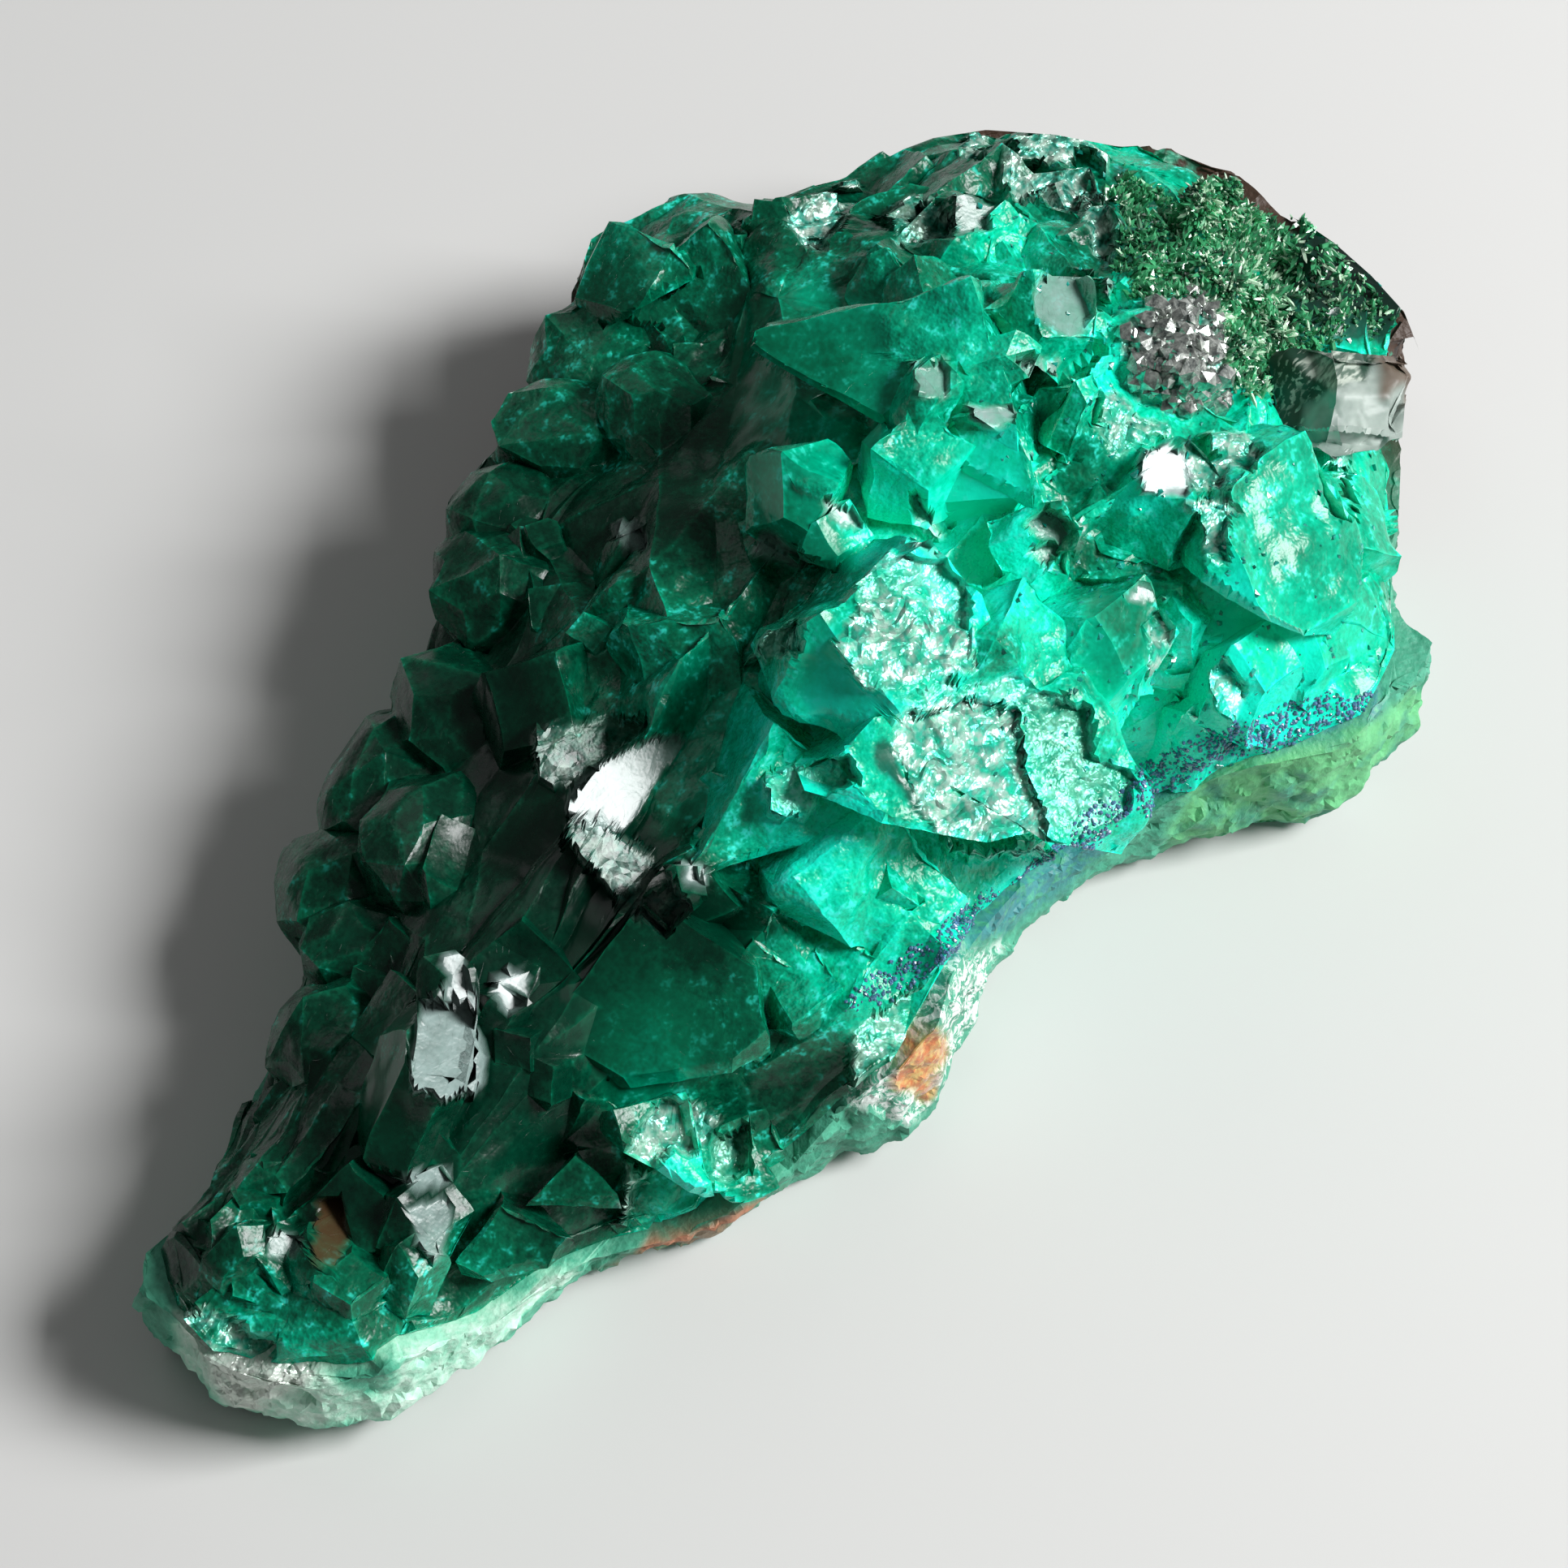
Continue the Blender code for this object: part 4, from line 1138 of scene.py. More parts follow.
    def held(self, way: str, share: str) -> Value:
        """The surface's normal, turned towards a direction that the piece holds.

        Args:
            way: the name of the piece's directions.
            share: the name of the numbers that say how far the normal is turned.

        Returns:
            The turned normal.
        """
        normal = self.node("ShaderNodeNewGeometry", output="Normal")
        own = self.node("ShaderNodeAttribute", {"attribute_name": way}, output="Vector")
        turned = {"vector_type": "NORMAL", "convert_from": "OBJECT", "convert_to": "WORLD"}
        placed = self.node("ShaderNodeVectorTransform", turned, {"Vector": own})
        inputs = {"Factor": self.number(share), 4: normal, 5: placed}
        return self.node("ShaderNodeMix", {"data_type": "VECTOR"}, inputs, 1)

    def ramp(self, value: Value, *stops: tuple) -> Value:
        """A colour for each value, by stops."""
        return self.node("ShaderNodeValToRGB", {"stops": stops}, {"Fac": value})

    def mix(self, share: Value | float, first: Value | tuple, second: Value | tuple) -> Value:
        """Two colours mixed.

        Args:
            share: how much of the second there is, from 0 to 1.
            first: the first colour.
            second: the second colour.

        Returns:
            The mixed colour.
        """
        first = first if isinstance(first, Value) else (*first, 1.0)
        second = second if isinstance(second, Value) else (*second, 1.0)
        inputs = {"Factor": share, 6: first, 7: second}
        return self.node("ShaderNodeMix", {"data_type": "RGBA"}, inputs, 2)

    def bump(self, height: Value, depth: float, strength: float = 1.0,
             normal: Value | None = None) -> Value:
        """A normal that shows fine relief.

        Args:
            height: the relief's height.
            depth: how many millimetres a height of one stands for.
            strength: how much of the relief is shown.
            normal: the normal that it starts from, if it isn't the surface's.

        Returns:
            The normal.
        """
        inputs = {"Height": height, "Distance": depth * MM, "Strength": strength}
        if normal is not None:
            inputs["Normal"] = normal
        return self.node("ShaderNodeBump", inputs=inputs)

    def principled(self, inputs: dict, absorption: tuple | None = None) -> bpy.types.Material:
        """Close the material with its shader.

        Args:
            inputs: the Principled shader's sockets.
            absorption: the colour that is let through and the density per metre, if clear.

        Returns:
            The finished material.
        """
        shader = self.node("ShaderNodeBsdfPrincipled", inputs=inputs)
        self.tree.links.new(shader.socket, self.output.inputs["Surface"])
        if absorption:
            colour, density = absorption
            volume = self.node("ShaderNodeVolumeAbsorption",
                               inputs={"Color": (*colour, 1.0), "Density": density})
            self.tree.links.new(volume.socket, self.output.inputs["Volume"])
        return self.material


@dataclass(frozen=True)
class DioptaseFinish:
    """Clear green crystal: dark to turquoise by its tone numbers, which hold painted light and shade.

    Its flecks are painted glints, its silver patches a painted reflection and its pale grey a
    painted sheen.
    """

    name: str = "dioptase"
    ior: float = 1.67
    transmission: float = 0.21
    let_through: tuple = (0.02, 0.62, 0.42)
    density: float = 1200.0
    stops: tuple = (
        (0.0, (0.000, 0.010, 0.006)),
        (0.2, (0.000, 0.045, 0.022)),
        (0.4, (0.000, 0.150, 0.072)),
        (0.6, (0.000, 0.380, 0.210)),
        (0.8, (0.000, 0.700, 0.410)),
        (1.0, (0.005, 1.000, 0.720)),
    )
    # The colours of the painted glints, the painted silver reflection, the green between its patches and
    # the painted pale sheen
    painted_glint: tuple = (0.05, 0.98, 0.80)
    painted_silver_reflection: tuple = (0.66, 0.82, 0.72)
    silver_green: tuple = (0.07, 0.50, 0.38)
    pale: tuple = (0.32, 0.43, 0.41)
    brown: tuple = (0.10, 0.045, 0.02)
    near_black: tuple = (0.012, 0.016, 0.016)
    fine_size: float = 0.14
    veil_size: float = 0.42
    sweep_size: float = 0.8
    flake: float = 0.27
    flake_rise: float = 0.9

    def material(self) -> bpy.types.Material:
        """Draw up the material.

        Returns:
            The finished material.
        """
        paint = Paint(self.name)
        fine = paint.noise(self.fine_size, 1.0, 0.6)
        veil = paint.noise(self.veil_size, 2.0, 0.65)
        foil, smooth, pale = paint.number("foil"), paint.number("smooth"), paint.number("pale")
        rough = 1.0 - smooth
        # Green by the tone numbers, which hold painted light and shade; uneven where the face
        # is rough and the tone is bright
        lit = paint.number("tone").between(0.05, 0.55)
        uneven = (veil - 0.5) * 0.55 + (fine - 0.5) * 0.35
        tone = paint.number("tone") + uneven * (0.45 + 0.55 * rough) * (0.35 + 0.65 * lit)
        green = paint.ramp(tone.share(), *self.stops)
        # Painted glints: small bright turquoise flecks where the tone is bright
        painted_glint = veil.between(0.56, 0.64) * fine.between(0.44, 0.60) * tone.between(0.3, 0.7)
        colour = paint.mix(painted_glint * (0.3 + 0.7 * rough), green, self.painted_glint)
        colour = paint.mix(paint.number("brown"), colour, self.brown)
        colour = paint.mix(paint.number("dark"), colour, self.near_black)
        sweep = paint.noise(self.sweep_size, 0.0)
        flakes = paint.flakes(self.flake, self.flake_rise, sweep)
        # Foil-like faces: silvery patches, a painted reflection, with green ones between them
        painted_silver_reflection = (foil * (0.5 + 0.7 * fine.between(0.36, 0.56)) * veil.between(0.32, 0.44)).share()
        shade = paint.mix(veil.between(0.42, 0.62), self.silver_green, self.painted_silver_reflection)
        colour = paint.mix(painted_silver_reflection * 0.85, colour, shade)
        # Painted sheen: pale grey over the pale and mirror faces
        painted_sheen = pale * (0.35 + 0.9 * veil)
        colour = paint.mix(painted_sheen.share(), colour, self.pale)
        # Crinkles on foil-like faces, faint on the rest
        relief = (fine * 0.5 + veil * 0.4) * (rough * lit + pale * 0.3 + foil * 0.5) * 0.06
        relief = relief + flakes * (foil * 0.9 + rough * lit * 0.10 + pale * 0.04)
        return paint.principled(
            {
                "Base Color": colour,
                "Metallic": painted_silver_reflection * 0.38,
                "Roughness": 0.20 + fine * 0.16 * rough + painted_silver_reflection * 0.06 + pale * 0.06,
                "IOR": self.ior,
                "Specular IOR Level": 0.1,
                "Transmission Weight": self.transmission,
                "Coat Weight": (paint.number("mirror") * 0.24 + 0.01).share(),
                "Coat Roughness": 0.22,
                "Normal": paint.bump(relief, 1.0, 1.0, paint.held("plane", "firm")),
            },
            (self.let_through, self.density),
        )


@dataclass(frozen=True)
class RockFinish:
    """Altered copper-bearing rock: pale green, white specks, a rust spot and a brown skin."""

    name: str = "host_rock"
    stops: tuple = (
        (0.0, (0.02, 0.16, 0.10)),
        (0.4, (0.08, 0.42, 0.27)),
        (0.7, (0.30, 0.66, 0.48)),
        (1.0, (0.70, 0.86, 0.76)),
    )
    white: tuple = (0.86, 0.92, 0.88)
    yellow_green: tuple = (0.15, 0.52, 0.20)
    rust: tuple = (0.52, 0.16, 0.05)
    ochre: tuple = (0.62, 0.42, 0.14)
    copper: tuple = (0.42, 0.19, 0.11)
    brown: tuple = (0.05, 0.024, 0.013)
    blue: tuple = (0.03, 0.16, 0.27)
    # The colour of the rock's painted silver reflection
    painted_silver_reflection: tuple = (0.70, 0.74, 0.68)
    cloud_size: float = 1.4
    fine_size: float = 0.25
    grain_size: float = 0.16
    flake: float = 0.3
    flake_rise: float = 0.8

    def material(self) -> bpy.types.Material:
        """Draw up the material.

        Returns:
            The finished material.
        """
        paint = Paint(self.name)
        cloud = paint.noise(self.cloud_size, 4.0, 0.6)
        fine = paint.noise(self.fine_size, 3.0, 0.65)
        grain = paint.cells(self.grain_size)
        pale = paint.number("pale")
        tone = 0.05 + pale * 0.55 - paint.number("blotch") * 0.6 + cloud * 0.45 + (fine - 0.5) * 0.5
        colour = paint.ramp(tone.share(), *self.stops)
        nose = (paint.number("nose") * cloud.between(0.36, 0.52)).share()
        colour = paint.mix(nose * (0.5 + 0.5 * fine), colour, self.yellow_green)
        speck = paint.number("speck") * paint.noise(0.35, 3.0, 0.7, 1.0).between(0.46, 0.56)
        colour = paint.mix(speck.share(), colour, self.white)
        rust = paint.number("rust") * cloud.between(0.30, 0.40)
        rusty = paint.mix(fine.between(0.4, 0.6), self.rust, self.ochre)
        colour = paint.mix(rust.share(), colour, rusty)
        skin = (paint.number("skin") * paint.noise(0.8, 3.0, 0.6).between(0.30, 0.42)).share()
        colour = paint.mix(skin, colour, paint.mix(paint.number("strip"), self.brown, self.copper))
        seam = (paint.number("seam") * paint.noise(0.3, 2.0, 0.6).between(0.36, 0.5)).share()
        colour = paint.mix(seam * 0.6, colour, self.blue)
        flakes = paint.flakes(self.flake, self.flake_rise, cloud)
        # Painted reflection: a silvery patch of the rock
        painted_silver_reflection = (paint.number("painted_silver_reflection") * cloud.between(0.25, 0.5)).share()
        colour = paint.mix(painted_silver_reflection * 0.8, colour, self.painted_silver_reflection)
        return paint.principled({
            "Base Color": colour,
            "Roughness": 0.62 - 0.3 * speck.share() - 0.15 * fine - 0.2 * painted_silver_reflection,
            "Coat Weight": (paint.number("speck") * 0.4).share(),
            "Coat Roughness": 0.2,
            "Metallic": painted_silver_reflection * 0.3,
            "Normal": paint.bump((fine + grain * 0.5) * 0.04 + flakes * painted_silver_reflection, 1.0, 0.9),
        })


@dataclass(frozen=True)
class PaleFinish:
    """The pale crystal: nearly colourless, misty inside, with fine growth lines."""

    name: str = "pale_mineral"
    line_width: float = 0.12
    line_length: float = 6.0
    line_turn: float = 25.0
    deep: tuple = (0.012, 0.06, 0.035)
    streak: tuple = (0.60, 0.70, 0.60)
    mist_low: tuple = (0.24, 0.31, 0.28)
    mist_high: tuple = (0.52, 0.60, 0.55)
    ruled_low: tuple = (0.16, 0.24, 0.19)
    ruled_high: tuple = (0.72, 0.80, 0.70)
    skin: tuple = (0.13, 0.07, 0.04)
    let_through: tuple = (0.75, 0.85, 0.80)
    density: float = 200.0

    def material(self) -> bpy.types.Material:
        """Draw up the material.

        Returns:
            The finished material.
        """
        paint = Paint(self.name)
        mist = paint.noise(0.9, 3.0, 0.6)
        long = self.line_length
        stretched = paint.node("ShaderNodeMapping", inputs={
            "Vector": paint.place, "Rotation": (0.0, 0.0, math.radians(self.line_turn)),
            "Scale": (1.0, long, long)})
        lines = paint.node("ShaderNodeTexNoise", inputs={
            "Vector": stretched, "Scale": 1.0 / (long * self.line_width * MM),
            "Detail": 2.0})
        streak = lines.between(0.54, 0.62) * mist.between(0.42, 0.55)
        clear = paint.mix(streak * 0.7, self.deep, self.streak)
        whitish = paint.mix(mist.between(0.3, 0.7), self.mist_low, self.mist_high)
        colour = paint.mix(paint.number("clear"), whitish, clear)
        ruled = paint.mix(lines.between(0.42, 0.58), self.ruled_low, self.ruled_high)
        colour = paint.mix(paint.number("ruled"), colour, ruled)
        colour = paint.mix(paint.number("skin") * 0.85, colour, self.skin)
        return paint.principled(
            {
                "Base Color": colour,
                "Roughness": 0.40 + mist * 0.2,
                "IOR": 1.6,
                "Specular IOR Level": 0.3,
                "Transmission Weight": 0.3,
                "Coat Weight": 0.03,
                "Coat Roughness": 0.15,
                "Normal": paint.bump(lines, 0.012, 0.4),
            },
            (self.let_through, self.density),
        )


@dataclass(frozen=True)
class GrainFinish:
    """Small glassy grains: two colours, mixed by patches, with a hard gloss."""

    name: str
    low: tuple
    high: tuple
    patch: float = 0.5
    roughness: float = 0.16
    transmission: float = 0.0
    metal: float = 0.0

    def material(self) -> bpy.types.Material:
        """Draw up the material.

        Returns:
            The finished material.
        """
        paint = Paint(self.name)
        patch = paint.noise(self.patch, 3.0, 0.7).between(0.32, 0.68)
        fine = paint.noise(0.1, 2.0, 0.6)
        colour = paint.mix(patch, self.low, self.high)
        return paint.principled({
            "Base Color": colour,
            "Roughness": self.roughness + fine * 0.2,
            "Metallic": self.metal,
            "IOR": 1.65,
            "Transmission Weight": self.transmission,
            "Coat Weight": 0.5,
            "Coat Roughness": 0.08,
            "Normal": paint.bump(fine, 0.01, 0.5),
        })


def add_piece(thing: bpy.types.Object, slot: str, material: bpy.types.Material,
              *stands_for: str) -> bpy.types.Object:
    """Dress a piece, let it ride on the specimen and hide the solids that it stands for.

    Args:
        thing: the piece.
        slot: not used.
        material: what it is dressed in.
        stands_for: the solids that it takes the place of, if any.

    Returns:
        The piece.
    """
    thing.data.materials.append(material)
    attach(thing, "root")
    if stands_for:
        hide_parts(*stands_for)
    return thing


def picture_place(points: np.ndarray) -> tuple[np.ndarray, np.ndarray]:
    """How far points lie to the right and to the far side, as the picture sees them in plan."""
    return points @ PICTURE_RIGHT, points @ PICTURE_AWAY


@dataclass
class CrystalCrust:
    """The crust of green crystals: its solid, cut finer and given the relief of real faces."""

    fine: float = 0.225
    coarse: float = 1.6
    dim_coarser: float = 0.3
    turned_coarser: float = 0.9
    covered_coarser: float = 1.0
    seed: int = 5
    sink: float = 0.26
    under_level: float = -0.45
    most_moved: float = 1.25
    pale_turn: float = 0.24
    brown_turn: float = 0.55
    crease_level: float = 0.94
    steepest: float = -0.4
    # How much brighter a face turned away from the key light is painted: painted light
    painted_glow: float = 0.34
    ragged: float = 5.0
    face_edge: float = 3.5
    field_edge: float = 10.0
    shading_angle: float = 36.0
    least_seen: float = 3.0
    shift: tuple = ((1.9, 0.17), (0.75, 0.06))
    large_pieces: tuple = (2.3, 0.07, 0.17, 16.0)
    middle_pieces: tuple = (0.95, 0.03, 0.15, 20.0)
    small_pieces: tuple = (0.38, 0.012, 0.12, 20.0)
    chip_depth: float = 0.14
    chip_width: float = 0.35
    dim_half: tuple = (-4.0, -1.0)
    turned_away: tuple = (0.0, 0.35)
    large_area: tuple = (2.0, 5.0)

    def build(self) -> Surface:
        """Make the crust's piece.

        Returns:
            Its surface, on which the grains are set.
        """
        solid = Surface.of_node("dioptase_crystals")
        area, centre, normals = solid.facet_values()
        under = normals[:, 2] < self.under_level
        surface = solid.refined(self.longest_edges(centre, normals, under))
        distance, convex = surface.crease_distance(normals)
        noise = Noise(self.seed)
        free = 1.0 - np.clip(surface.to_points(under.astype(float)) * 1.5, 0.0, 1.0)
        self.lower_the_foot(surface, under)
        surface.points = surface.points + self.wander(surface.points) * free[:, None]
        ways = surface.point_normals()
        seen, _ = VIEW.seen(surface.points)
        shown = VIEW.shown(surface.points, ways)
        ragged = self.ragged * noise.layered(surface.points, 0.5, 2)
        shares = self.face_shares(seen, ragged, shown, VIEW.shown(surface.points, ways, self.steepest))
        looks = {look: self.strongest(look, shares, len(shown)) for look in Look}
        smooth = self.smoothness(surface, looks, self.smooth_facets(area, centre))
        calm = 0.4 + 0.6 * smooth_step(0.15, 0.5, tone_with_painted_light(seen))
        lift = self.relief(surface.points, noise, looks[Look.FOIL], distance, (1.0 - smooth) * calm)
        surface.points = surface.points + ways * (surface.eased(lift, 1) * free)[:, None]
        self.flatten(surface, shares)
        surface.points = trimmed(surface.points)
        firm, plane = self.planes(shares)
        knobs = KNOB_FIELD.share(seen, ragged, self.field_edge) * shown
        values = {
            "firm": firm,
            "plane": plane,
            # Foil faces and the ground between the knobs get a painted silver reflection
            "foil": np.maximum(looks[Look.FOIL], 0.8 * knobs),
            "smooth": smooth,
            # Painted sheen: pale grey on the pale faces and the mirror faces
            "pale": np.maximum(looks[Look.PALE], 0.8 * looks[Look.MIRROR]),
            "mirror": looks[Look.MIRROR],
            "brown": looks[Look.BROWN],
            "dark": np.maximum(0.8 * looks[Look.DARK], self.ground(seen, ragged) * shown),
            # The tone holds painted light and shade as well as the crystal's own tone
            "tone": self.tone(surface, seen, noise, distance, convex, area),
        }
        creases = surface.crease_keys(normals, self.crease_level)
        thing = surface.to_object("crystal_crust", values, self.shading_angle, creases)
        add_piece(thing, "dioptase", DioptaseFinish().material(), "dioptase_crystals")
        return surface

    def longest_edges(self, centre: np.ndarray, normals: np.ndarray,
                      under: np.ndarray) -> np.ndarray:
        """The longest edge that stays in each facet.

        It is the fine length, made longer by a share on the dark half, below the druse and
        where a facet is turned away from the picture; underneath it is the coarse length.

        Args:
            centre: the facets' middles.
            normals: the facets' normals.
            under: which facets are underneath.

        Returns:
            One length for each facet.
        """
        across, _ = picture_place(centre)
        seen, _ = VIEW.seen(centre)
        facing = smooth_step(*self.turned_away, normals @ VIEW.axes()[2])
        longer = self.dim_coarser * (1.0 - smooth_step(*self.dim_half, across))
        longer += self.turned_coarser * (1.0 - facing)
        longer += self.covered_coarser * DRUSE_FIELD.share(seen)
        length = self.fine * (1.0 + longer)
        return np.where(under, self.coarse, length * (1.0))

    def face_shares(self, seen: np.ndarray, ragged: np.ndarray, shown: np.ndarray,
                    at_all: np.ndarray) -> dict[str, np.ndarray]:
        """How far each point belongs to each face.

        A clear or a dark face ends where the crust turns away from the picture. A bright one
        goes on behind its edge, so that the points there come into its plane as well.

        Args:
            seen: where the picture shows the points.
            ragged: how far the faces' outlines are moved there.
            shown: which points the picture shows.
            at_all: the same, with the points that are turned away but not hidden.

        Returns:
            For each face's name one share for each point.
        """
        ends = (Look.GREEN, Look.DARK)
        return {
            face.name: face.share(seen, ragged, self.face_edge)
            * (shown if face.look in ends else at_all)
            for face in FACES
        }

    @staticmethod
    def smoothness(surface: Surface, looks: dict[Look, np.ndarray],
                   large: np.ndarray) -> np.ndarray:
        """How smooth each point's surroundings are, as its face is or its large facet.

        Args:
            surface: the crust's surface.
            looks: how strongly each point has each look.
            large: how smooth each facet is by its size.

        Returns:
            One share for each point.
        """
        faces = [looks[Look.MIRROR], looks[Look.PALE], 0.9 * looks[Look.GREEN],
                 looks[Look.DARK], looks[Look.BROWN]]
        return surface.eased(np.maximum(np.max(faces, axis=0), surface.to_points(large)))

    @staticmethod
    def strongest(look: Look, shares: dict[str, np.ndarray], count: int) -> np.ndarray:
        """For each point the greatest share of any face of that look."""
        chosen = [shares[face.name] for face in FACES if face.look is look]
        return np.max(chosen, axis=0) if chosen else np.zeros(count)

    def lower_the_foot(self, surface: Surface, under: np.ndarray) -> None:
        """Sink the underside to the rock, so that no gap shows between the two.

        Args:
            surface: the crust's surface, whose points are moved.
            under: which facets are underneath.
        """
        low = np.zeros(len(surface.points), bool)
        low[surface.triangles[under[surface.facets]].reshape(-1)] = True
        surface.points[low, 2] -= self.sink

    def wander(self, points: np.ndarray) -> np.ndarray:
        """A slow shift of every point that takes the straightness out of edges and faces.

        Args:
            points: places, an array of N by 3.

        Returns:
            N moves: two soft fields, a wide one and a narrow one, added up.
        """
        noise = Noise(self.seed + 9)
        (slow_size, slow_way), (quick_size, quick_way) = self.shift
        slow = np.stack([noise.soft(points, slow_size, k) for k in (1, 2, 3)], axis=1)
        quick = np.stack([noise.soft(points, quick_size, k) for k in (4, 5, 6)], axis=1)
        return slow_way * slow + quick_way * quick

    def smooth_facets(self, area: np.ndarray, centre: np.ndarray) -> np.ndarray:
        """Which facets stay smooth: the large ones on the darker half."""
        right, _ = picture_place(centre)
        return smooth_step(*self.large_area, area) * (1.0 - smooth_step(-4.0, 1.0, right)) * 0.8

    def relief(self, points: np.ndarray, noise: Noise, foil: np.ndarray,
               distance: np.ndarray, rough: np.ndarray) -> np.ndarray:
        """How far each point moves out along its normal.

        The relief is a sum of broken fields of three sizes, of which the largest are flat
        pieces with edges between them and the smallest is the crinkle of a broken face, and
        of chips taken from the creases.

        Args:
            points: places, an array of N by 3.
            noise: the crust's own random fields.
            foil: how foil-like each place is, which is left without the finer fields.
            distance: how far each place is from a crease.
            rough: how rough each place is.

        Returns:
            N lengths.
        """
        large = noise.broken(points, *self.large_pieces)
        middle = Noise(self.seed + 1).broken(points, *self.middle_pieces)
        small = Noise(self.seed + 2).broken(points, *self.small_pieces)
        chips = np.clip(noise.layered(points, 0.8) - 0.1, 0.0, None)
        chips *= self.chip_depth * (1.0 - smooth_step(0.0, self.chip_width, distance))
        plain = rough * (1.0 - foil)
        return large * rough + (middle + small) * plain - chips * plain

    def flatten(self, surface: Surface, shares: dict[str, np.ndarray]) -> None:
        """Bring the points of every bright face into one plane, moving them along the view.

        A bright face's plane goes through the middle of its points and looks to where it
        throws the key light back to the viewer; a pale one is turned a little away from that.

        Args:
            surface: the crust's surface, whose points are moved.
            shares: how far each point belongs to each face.
        """
        back = VIEW.axes()[2]
        for face in FACES:
            if face.look in (Look.GREEN, Look.DARK):
                continue
            share = shares[face.name] / face.strength
            if share.sum() < self.least_seen:
                LOG.info("face %s is not seen", face.name)
                continue
            normal = self.facing(face.look)
            middle = (surface.points * share[:, None]).sum(axis=0) / share.sum()
            move = (middle - surface.points) @ normal / (back @ normal)
            firm = 0.8 if face.look is Look.FOIL else 1.0
            move = np.clip(move, -self.most_moved, self.most_moved) * share * firm
            surface.points = surface.points + back * move[:, None]

    def facing(self, look: Look) -> np.ndarray:
        """The way in which the faces of a look are turned."""
        turns = {Look.PALE: self.pale_turn, Look.BROWN: self.brown_turn}
        return unit(GLINT + turns.get(look, 0.0) * PICTURE_AWAY)

    def planes(self, shares: dict[str, np.ndarray]) -> tuple[np.ndarray, np.ndarray]:
        """How the flat faces hold the shading of the points.

        Args:
            shares: how far each point belongs to each face.

        Returns:
            How firmly each point is held, and which way the face that holds it is turned.
        """
        holds = {Look.MIRROR: 0.92, Look.PALE: 0.85, Look.FOIL: 0.65, Look.BROWN: 0.8}
        flat = [face for face in FACES if face.look in holds]
        firm = np.array([shares[face.name] / face.strength * holds[face.look] for face in flat])
        ways = np.array([self.facing(face.look) for face in flat])
        return firm.max(axis=0), ways[firm.argmax(axis=0)]

    @staticmethod
    def ground(seen: np.ndarray, ragged: np.ndarray) -> np.ndarray:
        """How dark the ground is between the knobs and below the druse."""
        return np.maximum(KNOB_FIELD.share(seen, soft=12.0), 0.8 * DRUSE_FIELD.share(seen, ragged))

    def tone(self, surface: Surface, seen: np.ndarray, noise: Noise, distance: np.ndarray,
             convex: np.ndarray, area: np.ndarray) -> np.ndarray:
        """How bright the green is: by place, by facet, and painted brighter at edges and off the light.

        The levels by place hold painted light and shade as well as the crystal's own tone. Convex
        edges are painted brighter as a painted glow, and a face that is turned away from the key light
        is painted brighter as painted light, standing for light that gets through the crystal.

        Args:
            surface: the crust's surface.
            seen: where the picture shows its points.
            noise: the crust's own random fields.
            distance: how far each point is from a crease.
            convex: which points are on a convex crease.
            area: the facets' areas.

        Returns:
            One level for each point, painted light and shade included.
        """
        own = noise.numbers(np.stack([np.arange(len(area)) * 7 + 3] * 3, 1))
        # Painted glow: convex edges are painted brighter
        edge = np.exp(-distance / 0.2) * convex
        level = tone_with_painted_light(seen + 14.0 * noise.layered(surface.points, 1.6, 2)[:, None])
        # Painted light: a face turned away from the key light is painted brighter
        turned = 1.0 - np.clip(surface.point_normals() @ KEY_WAY, 0.0, 1.0)
        uneven = 0.86 + 0.20 * (surface.to_points(own) - 0.5) + self.painted_glow * turned
        cloud = 0.07 * noise.layered(surface.points, 1.1, 2)
        return level * uneven + 0.10 * edge + cloud * np.minimum(1.0, 0.4 + level)


